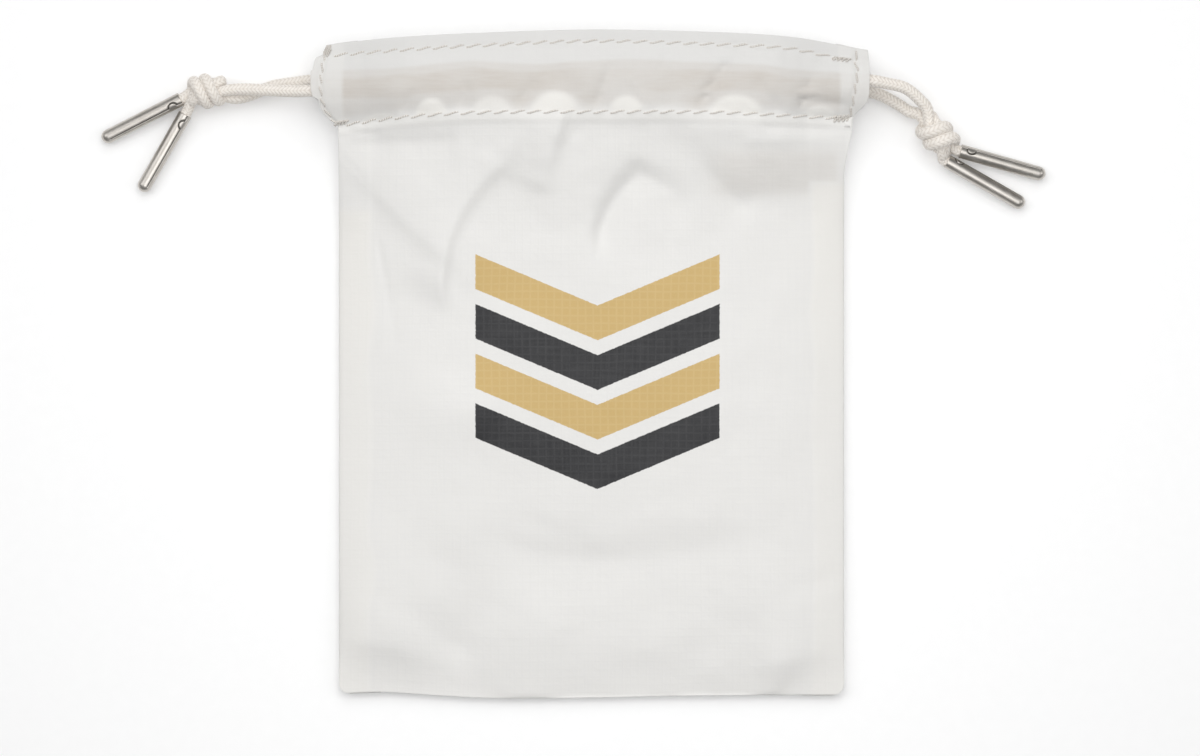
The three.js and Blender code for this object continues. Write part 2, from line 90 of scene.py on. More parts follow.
# The casings from left to right: top edge, upper stitches and lower stitches.
MOUTH_COLUMNS = ("x", "top", "upper", "lower")
MOUTH_ROWS = [
    (-69.1, 78.1, 76.2, 59),
    (-66, 79, 76.7, 59.2),
    (-62, 79.7, 77, 59.6),
    (-50, 80.9, 77.8, 61.1),
    (-30, 82, 79, 62.4),
    (0, 82.9, 80.2, 62.6),
    (30, 82.3, 79.4, 62.5),
    (50, 81.1, 78.3, 61.7),
    (62, 79.2, 75.9, 61.3),
    (66, 78.3, 75.5, 61.2),
    (69.1, 77.8, 75.3, 61.2),
]

# Half the casing's width on the left and on the right. The level counts from the lower stitches, 0,
# to the upper stitches, 1, and on to the top edge, 2.
END_COLUMNS = ("level", "left", "right")
END_ROWS = [
    (0, 63.2, 65.2),
    (0.11, 65.6, 66.3),
    (0.225, 67.2, 68.1),
    (0.31, 67.7, 68.8),
    (0.39, 68.1, 69.1),
    (0.46, 69.6, 69.2),
    (0.8, 69.9, 69.3),
    (0.84, 69.4, 69.3),
    (0.985, 68.8, 69.2),
    (1.1, 67.2, 69.1),
    (2, 66.2, 68.9),
]

# The front casing's outer and inner wall between its stitches, over the middle of its tunnel.
WALL_COLUMNS = ("level", "outer", "inner")
WALL_ROWS = [
    (0, 1.35, 0.8),
    (0.1, 1.6, -0.5),
    (0.2, 1.95, -1.5),
    (0.3, 2.15, -1.9),
    (0.45, 2.25, -2),
    (0.6, 2.25, -2),
    (0.78, 2.1, -1.2),
    (0.9, 1.9, 0.1),
    (1, 1.6, 1.1),
]

# Height of the front panel from the bottom to the casing.
FILL_COLUMNS = ("y", "height")
FILL_ROWS = [
    (-82.9, 3),
    (-81, 3.25),
    (-77, 3.65),
    (-73, 4),
    (-66, 4.5),
    (-50, 5.3),
    (-30, 6.2),
    (0, 7.1),
    (25, 7.8),
    (38, 8.9),
    (50, 11.2),
    (58, 13),
    (63, 14.8),
]

# How far the bottom edge lies off a straight line.
BOTTOM_EDGE_COLUMNS = ("x", "off")
BOTTOM_EDGE_ROWS = [(-63.2, 0.3), (-53, 0.7), (-38, -0.2), (-23, -0.9), (0, -0.7), (22, -0.25), (50, 0)]
BOTTOM_EDGE_FADE = 45.0  # how far up the panel that is felt

# Folds: the x and y of both ends of a line, its bow to the left, the height at its start, the half
# width at its start and at its end, the share of the height that is left at its end, and how many
# times as wide it is on its right.
PANEL_FOLD_ROWS = [
    (-64, 58.6, -53, 57.2, 0, -1, 0.5, 0.6, 0.3, 1),
    (-63.6, 53, -55, 44.4, 0, -0.7, 0.45, 0.7, 0.2, 1),
    (-66, 54.6, -36, 55.4, 0, -2.2, 2.4, 2.8, 0.4, 2.5),
    (-63, 52.4, -36, 26.8, -0.6, 1.5, 7, 10, 0.6, 0.3),
    (-37.4, 14, -21, 51, 5.6, 2.4, 8, 9, 0.3, 0.24),
    (-6.4, 64, -12.6, 46, 0, 2.8, 2, 2.4, 0.3, 5),
    (1.6, 27, 11.6, 47.6, 2.6, -2, 1.8, 2.8, 0.7, 1.6),
    (9, 46.6, 23, 40.6, 1.6, -1.5, 3, 3.4, 0.3, 1.8),
    (25, 54, 37, 40.5, -1, -1.2, 3, 3.6, 0.8, 1.5),
    (30, 39, 56, 43, 0, -2, 5.6, 5, 0.7, 2.5),
    (64, 55.8, 40, 55.6, -0.3, 0.8, 1.5, 1.8, 0.5, 1),
    (66, 58.5, 44, 58.8, 0, -0.6, 1, 1.2, 0.6, 1),
    (16, 58.6, 46, 58.2, 0, 1.5, 5, 5, 0.7, 1),
    (-65, 39, -58, 41.2, 0, -0.7, 0.6, 1, 0.2, 1),
    (-53.4, 31, -49, 6, 0, -0.6, 0.8, 1.6, 0.3, 1),
    (-65, -23, -59, -22, 0, -0.6, 0.7, 1.2, 0.2, 1),
    (-58, -11, -30, -11, 0, 1.5, 9, 9, 1, 1),
    (-27, -44, 34, -45.5, -4.4, -1.6, 4.6, 5.6, 0.5, 2),
    (-20, -38, -6, -43, 0, -0.7, 2.6, 3, 0.4, 1.4),
    (-60, -54, -34, -70, 0, -0.9, 6, 6, 1, 1),
    (-36, -73.5, -62, -69, 0, 5.2, 6.5, 7, 1, 3),
    (90, -66, 48, -74, 0, 4.8, 6, 6, 0.5, 3),
    (66, -52, 49, -57, 0, -1, 1.6, 2.4, 0.2, 1),
]
CASING_FOLD_ROWS = [
    (1, 63.8, 4.6, 73.5, 0, -0.8, 0.9, 1.5, 0.5, 1),
    (26.6, 63.8, 33, 73.6, 0, -1.1, 1.1, 1.5, 0.7, 1),
    (15, 63.6, 10, 71, 0, 0.5, 0.7, 1, 0.5, 1),
    (47, 63, 42, 69.5, 0, -0.4, 0.9, 1.3, 0.6, 1),
    (51.6, 62.8, 54.2, 70, 0, -0.8, 0.9, 1.3, 0.5, 1),
    (65, 64.4, 53, 65.6, 0, -0.7, 1.17, 1.56, 0.7, 1),
    (17, 72, 19.6, 79, 0, -0.5, 1, 1.2, 0.6, 1),
    (-18.5, 63.6, -15, 69.5, 0, -0.8, 1, 1.6, 0.5, 1),
    (-33, 63.2, -31.5, 69, 0, -0.6, 1, 1.4, 0.5, 1),
    (-47.5, 62.4, -45, 67, 0, -0.6, 1, 1.4, 0.5, 1),
]

# Puffs of the casing's turned-in edge above the lower stitches: middle, half width, reach and strength.
PUFF_ROWS = [
    (-53, 5, 1.7, 0.6),
    (-40, 4.2, 4.4, 1),
    (-24.8, 5.4, 4.4, 0.6),
    (-9, 6.4, 5.8, 1),
    (8.6, 4.6, 4.4, 0.85),
    (36, 7, 5, 1),
    (57, 4.6, 3.2, 0.7),
]

# The band over the cords, where the cloth shows the cords' brown with painted shade: its lower and upper
# edge and its strength.
SHADE_COLUMNS = ("x", "low", "high", "strength")
SHADE_ROWS = [
    (-62, 66, 72.4, 0.95),
    (-50, 66, 72.4, 0.95),
    (-40, 66.8, 73.4, 0.9),
    (-30, 67.4, 74.2, 0.9),
    (-22, 67.6, 74, 0.9),
    (-12, 67.4, 73.6, 0.85),
    (0, 67, 74.4, 0.65),
    (10, 67.4, 74.8, 0.65),
    (20, 67.4, 74.4, 0.85),
    (33, 67.4, 73.8, 0.9),
    (42, 67.4, 73.4, 0.9),
    (50, 66.2, 72.4, 0.85),
    (62, 65, 71.4, 0.8),
]

# Between some puffs the cloth sinks to the cords. More of their brown shows there, with deeper painted
# shade.
SHADED_HOLLOWS = (-18.0, -0.5, 26.0)

# The stitches across the casing's left and right end, from the top down.
END_STITCH_ROWS = [
    [(-66.2, 78), (-66.9, 75), (-67.4, 71.5), (-67.6, 68), (-67.2, 65), (-65.6, 61.8), (-62.9, 59.3)],
    [(66.3, 78.2), (65.7, 75.4), (66.3, 72.6), (65.8, 69), (65.2, 66), (64.9, 63.6), (64.5, 61.4)],
]

# Ripples of the header: wavelength, height and phase.
RIPPLE_ROWS = [(31.0, 0.12, 0.6), (19.0, 0.06, 2.1)]

# The overhand knot in its own frame, whose first direction runs along it from the strands to the
# tips, the second lies level to the side and the third is up. The first three columns are the places
# of the pair of strands and the last three half the step from one to the other.
COLLAR_SPREAD = 1.6
CORE_SIDE = 1.05
CORE_SPREAD = 1.05
ENTRY_SPREAD = 1.0
KNOT_START = [
    (-6.8, 1.0, 0.2, 0.0, ENTRY_SPREAD, 1.25),
    (-2.2, CORE_SIDE, 0.0, 0.0, 0.0, CORE_SPREAD),
    (2.0, CORE_SIDE, 0.0, 0.0, 0.0, CORE_SPREAD),
    (3.7, 1.6, -1, 1, 0, 0.6),
]
KNOT_END = [
    (-3.7, -1.6, -1, 1, 0, -0.6),
    (-2.0, -CORE_SIDE, 0.0, 0.0, 0.0, -CORE_SPREAD),
    (2.4, -CORE_SIDE, -0.4, 0.0, 0.4, -0.9),
]
WRAP_STEPS = 9
WRAP_FROM = -0.36
WRAP_TO = -2.64
WRAP_REACH = 2.9

# Where each side's strands, knot and tips lie, and the y at which its strands leave the casing. A
# knot's hand is the way it winds, long stretches it, and entry_shift moves the place where its strands
# come in. seam_turn is how far a tip's seam lies from its top.
SIDES = [
    {
        "name": "left",
        "sign": -1,
        "knot": {
            "x": -96.4, "y": 68.2, "heading": 194.0, "long": 0.88,
            "hand": 1, "front_hand": -1, "entry_shift": 1.2,
        },
        "exits": {"front": 68.1, "back": 71.0},
        "front": [(-74, 68.0, 8.9), (-80, 68.3, 7.6), (-86, 68.6, 6.6)],
        "back": [(-74, 70.5, 2.5), (-80, 69.5, 2.3), (-86, 67.2, 2.6)],
        "tips": [
            {"name": "upper", "x": -102.9, "y": 66.3, "heading": 207.0, "seam_turn": 36.0},
            {"name": "lower", "x": -101.8, "y": 62.5, "heading": 240.0, "seam_turn": 34.0},
        ],
    },
    {
        "name": "right",
        "sign": 1,
        "knot": {
            "x": 86.7, "y": 57.0, "heading": -56.0, "long": 1.0,
            "hand": -1, "front_hand": 1, "entry_shift": 1.3,
        },
        "exits": {"front": 70.6, "back": 68.0},
        "front": [(73.5, 70.0, 9.0), (78.4, 68.8, 7.9), (82.4, 65.6, 6.8)],
        "back": [(73.0, 67.1, 2.6), (77.0, 64.9, 2.5), (79.6, 63.2, 2.9)],
        "tips": [
            {"name": "upper", "x": 92.4, "y": 53.3, "heading": -15.8, "seam_turn": 34.0},
            {"name": "lower", "x": 89.2, "y": 50.7, "heading": -29.6, "seam_turn": 70.0},
        ],
    },
]

# Camera, floor and light

PHOTO_WIDTH_PX = 1200
PHOTO_HEIGHT_PX = 756
MM_PER_PX = 0.25
ORIGIN_PX = (591.5, 363.75)  # the pixel that the frame's origin lies on
LENS_MM = 180.0
SENSOR_MM = 36.0
FOCUS_Z = 6.0  # the height at which a pixel is MM_PER_PX wide


def make_camera():
    """Looks straight down, far off, so that the photograph's width of floor fills the picture."""
    data = bpy.data.cameras.new("camera")
    data.lens = LENS_MM
    data.sensor_width = SENSOR_MM
    data.clip_end = 20.0
    width = PHOTO_WIDTH_PX * MM_PER_PX
    distance = width * LENS_MM / SENSOR_MM
    camera = bpy.data.objects.new("camera", data)
    camera.location = (
        (PHOTO_WIDTH_PX / 2 - ORIGIN_PX[0]) * MM_PER_PX * MM,
        (ORIGIN_PX[1] - PHOTO_HEIGHT_PX / 2) * MM_PER_PX * MM,
        (distance + FOCUS_Z) * MM,
    )
    bpy.context.collection.objects.link(camera)
    bpy.context.scene.camera = camera


# Soft boxes aimed at the origin: name, place, size, power, whether it glints on metal and whether it
# casts a shadow.
LIGHT_ROWS = [
    ("near", (0.008, 0.002, 0.32), 0.24, 0.35, True, False),
    ("sky", (0.0, 0.0, 1.7), 4.0, 9.0, False, True),
    ("north", (0.05, 0.95, 1.14), 1.3, 8.0, False, True),
    ("overhead", (0.0, 0.1, 1.5), 1.2, 3.8, True, True),
    ("west", (-0.85, 0.35, 0.9), 0.8, 3.2, True, True),
    ("east", (0.95, 0.1, 0.75), 0.65, 1.9, True, True),
]
WORLD_STRENGTH = 0.2


def make_lights():
    """Square soft boxes, each turned to the origin, and a dim even surround."""
    for name, place, size, power, mirrored, shadow in LIGHT_ROWS:
        data = bpy.data.lights.new(name, "AREA")
        data.shape = "SQUARE"
        data.size = size
        data.energy = power
        data.use_shadow = shadow
        light = bpy.data.objects.new(name, data)
        light.location = place
        light.rotation_euler = Vector(place).to_track_quat("Z", "Y").to_euler()
        light.visible_glossy = mirrored
        bpy.context.collection.objects.link(light)
    world = bpy.data.worlds.new("studio")
    world.use_nodes = True
    world.node_tree.nodes["Background"].inputs["Color"].default_value = (1.0, 1.0, 1.0, 1.0)
    world.node_tree.nodes["Background"].inputs["Strength"].default_value = WORLD_STRENGTH
    bpy.context.scene.world = world
    bpy.context.scene.view_settings.view_transform = "Standard"
    bpy.context.scene.view_settings.look = "None"


# Helpers for arrays


def table(rows, columns):
    """Rows as a dictionary of columns, each a numpy array."""
    values = np.array(rows, dtype=float)
    return {name: values[:, i] for i, name in enumerate(columns)}


MOUTH = table(MOUTH_ROWS, MOUTH_COLUMNS)
ENDS = table(END_ROWS, END_COLUMNS)
WALLS = table(WALL_ROWS, WALL_COLUMNS)
FILL = table(FILL_ROWS, FILL_COLUMNS)
SHADE = table(SHADE_ROWS, SHADE_COLUMNS)
BOTTOM_EDGE = table(BOTTOM_EDGE_ROWS, BOTTOM_EDGE_COLUMNS)


def eased(keys, values, at):
    """Cubic curve through the rows whose slope at a row is that of the line between its neighbours."""
    at = np.clip(at, keys[0], keys[-1])
    before = np.maximum(np.arange(len(keys)) - 1, 0)
    after = np.minimum(np.arange(len(keys)) + 1, len(keys) - 1)
    slope = (values[after] - values[before]) / (keys[after] - keys[before])
    i = np.clip(np.searchsorted(keys, at, side="right") - 1, 0, len(keys) - 2)
    step = keys[i + 1] - keys[i]
    t = (at - keys[i]) / step
    start = (2 * t**3 - 3 * t**2 + 1) * values[i] + (t**3 - 2 * t**2 + t) * slope[i] * step
    end = (3 * t**2 - 2 * t**3) * values[i + 1] + (t**3 - t**2) * slope[i + 1] * step
    return start + end


def smoothstep(at, low, high):
    """From 0 at low to 1 at high, level at both ends. low may be the greater."""
    t = np.clip((at - low) / (high - low), 0.0, 1.0)
    return t * t * (3 - 2 * t)


def lerp(a, b, t):
    """a where t is 0 and b where it is 1."""
    return a + (b - a) * t


def reach_along(points):
    """Distance along a line of points from its start to each of them."""
    steps = np.linalg.norm(np.diff(points, axis=0), axis=1)
    return np.concatenate([[0.0], np.cumsum(steps)])


def crumple(x, y, cell, seed):
    """Smooth random height from -1 to 1: values on a square net of that cell size, eased between."""
    net = np.random.default_rng(seed).uniform(-1, 1, (256, 256))
    u = x / cell + 100.0
    v = y / cell + 100.0
    i = np.floor(u).astype(int)
    j = np.floor(v).astype(int)
    s = smoothstep(u - i, 0.0, 1.0)
    t = smoothstep(v - j, 0.0, 1.0)
    low = lerp(net[i % 256, j % 256], net[(i + 1) % 256, j % 256], s)
    high = lerp(net[i % 256, (j + 1) % 256], net[(i + 1) % 256, (j + 1) % 256], s)
    return lerp(low, high, t)


def grid_faces(rows, columns, ring=False):
    """Quads of a grid stored row by row. With ring, the last column joins the first."""
    i, j = np.meshgrid(np.arange(rows - 1), np.arange(columns - (0 if ring else 1)), indexing="ij")
    k = (j + 1) % columns
    quads = np.stack([i * columns + j, i * columns + k, (i + 1) * columns + k, (i + 1) * columns + j], -1)
    return quads.reshape(-1, 4)


def add_piece(name, points, quads, material, uv=None, masks=None):
    """A mesh of quads from an array of points in millimetres. uv holds one pair for each point, and
    masks one number for each point under each name."""
    points = np.asarray(points, dtype=float).reshape(-1, 3)
    mesh = bpy.data.meshes.new(name)
    mesh.vertices.add(len(points))
    mesh.vertices.foreach_set("co", (points * MM).ravel())
    mesh.loops.add(quads.size)
    mesh.loops.foreach_set("vertex_index", quads.ravel().astype(np.int32))
    mesh.polygons.add(len(quads))
    mesh.polygons.foreach_set("loop_start", np.arange(0, quads.size, 4, dtype=np.int32))
    mesh.update(calc_edges=True)
    mesh.polygons.foreach_set("use_smooth", np.full(len(quads), True))
    if uv is not None:
        layer = mesh.uv_layers.new(name="flat")
        layer.data.foreach_set("uv", np.asarray(uv).reshape(-1, 2)[quads.ravel()].ravel())
    for key, values in (masks or {}).items():
        attribute = mesh.attributes.new(key, "FLOAT", "POINT")
        attribute.data.foreach_set("value", np.asarray(values, dtype=np.float32).ravel())
    mesh.validate()
    piece = bpy.data.objects.new(name, mesh)
    bpy.context.collection.objects.link(piece)
    mesh.materials.append(material)
    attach(piece, "root")
    return piece


# Shader helpers


class Nodes:
    """Short names for making and joining the nodes of one tree."""

    def __init__(self, tree):
        self.tree = tree

    def add(self, kind, settings=None, **inputs):
        node = self.tree.nodes.new(kind)
        for key, value in (settings or {}).items():
            setattr(node, key, value)
        for key, value in inputs.items():
            self.feed(node.inputs[key.replace("_", " ")], value)
        return node

    def feed(self, socket, value):
        if isinstance(value, bpy.types.NodeSocket):
            self.tree.links.new(value, socket)
        else:
            socket.default_value = value

    def math(self, operation, a, b=None):
        node = self.add("ShaderNodeMath", {"operation": operation})
        self.feed(node.inputs[0], a)
        if b is not None:
            self.feed(node.inputs[1], b)
        return node.outputs[0]

    def mix(self, factor, a, b):
        node = self.add("ShaderNodeMix", {"data_type": "RGBA"})
        self.feed(node.inputs[0], factor)
        self.feed(node.inputs[6], a)
        self.feed(node.inputs[7], b)
        return node.outputs[2]

    def range(self, value, low, high, to_low=0.0, to_high=1.0):
        node = self.add("ShaderNodeMapRange", {"interpolation_type": "SMOOTHSTEP"})
        self.feed(node.inputs[0], value)
        for i, number in enumerate((low, high, to_low, to_high)):
            self.feed(node.inputs[i + 1], number)
        return node.outputs[0]

    def noise(self, vector, scale, detail=2.0):
        node = self.add("ShaderNodeTexNoise", Vector=vector, Scale=scale, Detail=detail)
        return node.outputs["Fac"]

    def stretch(self, vector, scale):
        node = self.add("ShaderNodeMapping", Vector=vector, Scale=scale)
        return node.outputs["Vector"]

    def mask(self, name):
        """One of the numbers that add_piece() gave each point."""
        return self.add("ShaderNodeAttribute", {"attribute_name": name}).outputs["Fac"]

    def flat_uv(self):
        return self.add("ShaderNodeUVMap", {"uv_map": "flat"}).outputs["UV"]

    def bump(self, shader, height, strength, distance):
        node = self.add("ShaderNodeBump", Height=height, Strength=strength, Distance=distance)
        self.feed(shader.inputs["Normal"], node.outputs["Normal"])


def new_material(name):
    """A material with one Principled shader, its node helper and the shader."""
    material = bpy.data.materials.new(name)
    material.use_nodes = True
    nodes = Nodes(material.node_tree)
    return material, nodes, material.node_tree.nodes["Principled BSDF"]


def new_group(name, inputs, outputs):
    """A shader node group with float or vector inputs, its helper, and its two end nodes."""
    tree = bpy.data.node_groups.new(name, "ShaderNodeTree")
    for label, kind, value in inputs:
        socket = tree.interface.new_socket(label, in_out="INPUT", socket_type=kind)
        if value is not None:
            socket.default_value = value
    for label, kind in outputs:
        tree.interface.new_socket(label, in_out="OUTPUT", socket_type=kind)
    nodes = Nodes(tree)
    return tree, nodes, nodes.add("NodeGroupInput"), nodes.add("NodeGroupOutput")


FLOAT = "NodeSocketFloat"
VECTOR = "NodeSocketVector"


def ripstop_group():
    """Ripstop weave from a place in millimetres, its net's pitch and its threads' half width: raised
    threads on a square net, and the uneven thickness of the fine threads between them, as streaks
    both ways."""
    tree, n, given, out = new_group(
        "ripstop weave",
        [("Place", VECTOR, None), ("Pitch", FLOAT, 1.95), ("Thread", FLOAT, 0.2)],
        [("Height", FLOAT), ("Net", FLOAT), ("Streak", FLOAT)],
    )
    place = given.outputs["Place"]
    waver = n.add("ShaderNodeTexNoise", Vector=place, Scale=0.05, Detail=1.0).outputs["Color"]
    shift = n.add("ShaderNodeVectorMath", {"operation": "SCALE"})
    n.feed(shift.inputs[0], waver)
    n.feed(shift.inputs["Scale"], 1.2)
    moved = n.add("ShaderNodeVectorMath", {"operation": "ADD"})
    n.feed(moved.inputs[0], place)
    n.feed(moved.inputs[1], shift.outputs[0])
    split = n.add("ShaderNodeSeparateXYZ", Vector=moved.outputs[0])
    lines = []
    for axis in ("X", "Y"):
        turn = n.math("DIVIDE", split.outputs[axis], given.outputs["Pitch"])
        off = n.math("ABSOLUTE", n.math("SUBTRACT", n.math("FRACT", turn), 0.5))
        lines.append(n.range(off, given.outputs["Thread"], 0.0))
    net = n.math("MAXIMUM", lines[0], lines[1])
    across = n.noise(n.stretch(place, (0.12, 1.7, 1.0)), 1.0, 2.0)
    down = n.noise(n.stretch(place, (1.7, 0.12, 1.0)), 1.0, 2.0)
    streak = n.math("MULTIPLY", n.math("ADD", across, down), 0.5)
    height = n.math("ADD", n.math("MULTIPLY", net, 0.5), streak)
    n.feed(out.inputs["Height"], height)
    n.feed(out.inputs["Net"], net)
    n.feed(out.inputs["Streak"], streak)
    return tree


RIPSTOP = ripstop_group()

# Colours, linear
CLOTH_WHITE = (0.705, 0.697, 0.679, 1.0)
CLOTH_DOUBLE = (0.73, 0.716, 0.684, 1.0)
# Painted shade for cloth that stands off the layers under it.
CLOTH_LIFTED_SHADE = (0.60, 0.595, 0.584, 1.0)
# The cords' brown through the cloth, darkened with painted shade.
CLOTH_CORD_AND_SHADE = (0.525, 0.488, 0.446, 1.0)
CLOTH_THREAD = (0.665, 0.658, 0.646, 1.0)
INK_BLACK = (0.010, 0.010, 0.012, 1.0)
INK_BLACK_WORN = (0.034, 0.034, 0.037, 1.0)
INK_GOLD = (0.52, 0.36, 0.135, 1.0)
INK_GOLD_WORN = (0.58, 0.435, 0.205, 1.0)
# Painted shade between the strands of the braid.
COTTON_GROOVE_SHADE = (0.58, 0.53, 0.475, 1.0)
COTTON_CROWN = (0.82, 0.78, 0.73, 1.0)
COTTON_SPECK = (0.68, 0.62, 0.545, 1.0)
# Painted shade in the grooves of the thread's twist.
THREAD_TWIST_SHADE = (0.47, 0.43, 0.38, 1.0)
THREAD_PALE = (0.74, 0.725, 0.70, 1.0)
NICKEL_DARK = (0.56, 0.53, 0.49, 1.0)
NICKEL_PALE = (0.64, 0.61, 0.57, 1.0)
# Painted shade in the gap of the rolled seam.
NICKEL_SEAM_SHADE = (0.03, 0.027, 0.024, 1.0)
FLOOR_DARK = (0.9, 0.9, 0.9, 1.0)
FLOOR_PALE = (0.92, 0.92, 0.92, 1.0)


def cloth_material(name, printed):
    """White ripstop: a faint net of thicker threads, greyer with painted shade where the cloth is lifted
    off the layers under it, more opaque where it lies double, and browner with painted shade where the cord
    shows through it. The front also carries the print."""
    material, n, shader = new_material(name)
    place = n.stretch(n.flat_uv(), (1000.0, 1000.0, 1000.0))
    weave = n.add("ShaderNodeGroup", {"node_tree": RIPSTOP}, Place=place)
    # Painted shade over the cords, with the cords' brown, in soft streaks.
    band_streaks = n.noise(n.stretch(place, (0.2, 1.5, 1.0)), 1.0, 3.0)
    cord_and_shade = n.math("MULTIPLY", n.mask("cord_and_shade"), n.range(band_streaks, 0.3, 0.7, 0.85, 1.05))
    streak = n.math("MULTIPLY", n.range(weave.outputs["Streak"], 0.35, 0.7), 0.25)
    colour = n.mix(n.math("MULTIPLY", weave.outputs["Net"], 0.08), CLOTH_WHITE, CLOTH_THREAD)
    colour = n.mix(streak, colour, CLOTH_THREAD)
    # Painted shade where the cloth stands off the layers under it.
    colour = n.mix(n.mask("lifted_shade"), colour, CLOTH_LIFTED_SHADE)
    colour = n.mix(n.mask("double"), colour, CLOTH_DOUBLE)
    # Painted shade and the cords' brown over the cords and in the hollows.
    colour = n.mix(cord_and_shade, colour, CLOTH_CORD_AND_SHADE)
    roughness = n.range(weave.outputs["Streak"], 0.3, 0.7, 0.5, 0.62)
    if printed:
        colour, roughness = print_layer(n, place, weave, colour, roughness)
    n.feed(shader.inputs["Base Color"], colour)
    n.feed(shader.inputs["Roughness"], roughness)
    shader.inputs["Specular IOR Level"].default_value = 0.35
    shader.inputs["Sheen Weight"].default_value = 0.08
    creases = n.noise(n.stretch(place, (0.16, 0.22, 1.0)), 1.0, 4.0)
    threads = n.math("MULTIPLY", weave.outputs["Height"], 0.03)
    n.bump(shader, n.math("ADD", threads, n.math("MULTIPLY", creases, 0.25)), 0.5, 0.001)
    return material


# The print: chevrons that point to the pouch's bottom, black and gold in turn.
PRINT_MIDDLE = (1.5, -2.0)
PRINT_HALF_WIDTH = 30.5
CHEVRON_SLOPE = 0.42
CHEVRON_PITCH = 12.4
CHEVRON_SHARE = 0.7
CHEVRONS = 4


def print_layer(n, place, weave, colour, roughness):
    """Ink over the cloth where the chevrons are. The ink is thinner on the threads of the net."""
    split = n.add("ShaderNodeSeparateXYZ", Vector=place)
    x = n.math("ABSOLUTE", n.math("SUBTRACT", split.outputs["X"], PRINT_MIDDLE[0]))
    y = n.math("SUBTRACT", split.outputs["Y"], PRINT_MIDDLE[1])
    rag = n.math("MULTIPLY", n.math("SUBTRACT", n.noise(place, 1.3, 2.0), 0.5), 0.35)
    tilt = n.math("MULTIPLY", n.math("SUBTRACT", x, PRINT_HALF_WIDTH / 2), CHEVRON_SLOPE)
    level = n.math("ADD", n.math("SUBTRACT", y, tilt), CHEVRONS * CHEVRON_PITCH / 2)
    turn = n.math("DIVIDE", level, CHEVRON_PITCH)
    from_middle = n.math("ABSOLUTE", n.math("SUBTRACT", n.math("FRACT", turn), 0.5))
    edge_distance = n.math("MULTIPLY", n.math("SUBTRACT", CHEVRON_SHARE / 2, from_middle), CHEVRON_PITCH)
    side_distance = n.math("SUBTRACT", PRINT_HALF_WIDTH, x)
    low = n.math("MULTIPLY", turn, CHEVRON_PITCH)
    high = n.math("SUBTRACT", CHEVRONS * CHEVRON_PITCH, low)
    inside = n.math("MINIMUM", edge_distance, side_distance)
    inside = n.math("MINIMUM", inside, n.math("MINIMUM", low, high))
    ink = n.range(n.math("ADD", inside, rag), -0.12, 0.12)
    odd = n.math("GREATER_THAN", n.math("FRACT", n.math("DIVIDE", n.math("FLOOR", turn), 2.0)), 0.25)
    worn = n.math("MULTIPLY", n.range(weave.outputs["Height"], 0.5, 1.05), 0.35)
    black = n.mix(worn, INK_BLACK, INK_BLACK_WORN)
    gold = n.mix(worn, INK_GOLD, INK_GOLD_WORN)
    ink_colour = n.mix(odd, black, gold)
    colour = n.mix(ink, colour, ink_colour)
    shine = n.range(weave.outputs["Streak"], 0.3, 0.7, 0.36, 0.5)
    return colour, n.math("ADD", n.math("MULTIPLY", ink, n.math("SUBTRACT", shine, roughness)), roughness)


def braid_material(name):
    """Unbleached cotton: uneven yarns, with painted shade between the strands of the braid."""
    material, n, shader = new_material(name)
    place = n.stretch(n.add("ShaderNodeTexCoord").outputs["Object"], (1000.0, 1000.0, 1000.0))
    fibre = n.noise(place, 4.5, 4.0)
    speck = n.noise(place, 1.3, 2.0)
    # Painted shade in the grooves of the braid.
    colour = n.mix(n.range(n.mask("crown"), 0.05, 0.75), COTTON_GROOVE_SHADE, COTTON_CROWN)
    colour = n.mix(n.math("MULTIPLY", n.range(speck, 0.42, 0.7), 0.35), colour, COTTON_SPECK)
    n.feed(shader.inputs["Base Color"], colour)
    n.feed(shader.inputs["Roughness"], n.range(fibre, 0.3, 0.7, 0.82, 0.95))
    shader.inputs["Specular IOR Level"].default_value = 0.2
    shader.inputs["Sheen Weight"].default_value = 0.25
    n.bump(shader, fibre, 0.35, 0.0003)
    return material


def thread_material(name):
    """Sewing thread: a pale polyester with the slant of its twist and painted shade in the twist's grooves.
    """
    material, n, shader = new_material(name)
    split = n.add("ShaderNodeSeparateXYZ", Vector=n.flat_uv())
    turn = n.math("ADD", split.outputs["X"], n.math("MULTIPLY", split.outputs["Y"], 7.0))
    twist = n.math("ABSOLUTE", n.math("SUBTRACT", n.math("FRACT", turn), 0.5))
    # Painted shade in the twist's grooves.
    n.feed(shader.inputs["Base Color"], n.mix(n.range(twist, 0.1, 0.45), THREAD_TWIST_SHADE, THREAD_PALE))
    shader.inputs["Roughness"].default_value = 0.55
    n.bump(shader, twist, 0.3, 0.0002)
    return material


def nickel_material(name):
    """Satin nickel: fine scratches along the tube, duller in patches, with painted shade in the rolled
    seam's gap and round the tab.
    """
    material, n, shader = new_material(name)
    uv = n.flat_uv()
    scratch = n.noise(n.stretch(uv, (60.0, 3.0, 1.0)), 1.0, 3.0)
    patch = n.noise(n.stretch(uv, (3.0, 8.0, 1.0)), 1.0, 3.0)
    colour = n.mix(n.range(patch, 0.35, 0.7), NICKEL_DARK, NICKEL_PALE)
    # Painted shade in the seam's gap and round the tab.
    n.feed(shader.inputs["Base Color"], n.mix(n.mask("seam_shade"), colour, NICKEL_SEAM_SHADE))
    shader.inputs["Metallic"].default_value = 1.0
    rough = n.math("ADD", n.range(scratch, 0.3, 0.7, 0.32, 0.42), n.range(patch, 0.4, 0.7, 0.0, 0.06))
    n.feed(shader.inputs["Roughness"], rough)
    n.bump(shader, scratch, 0.03, 0.0001)
    return material


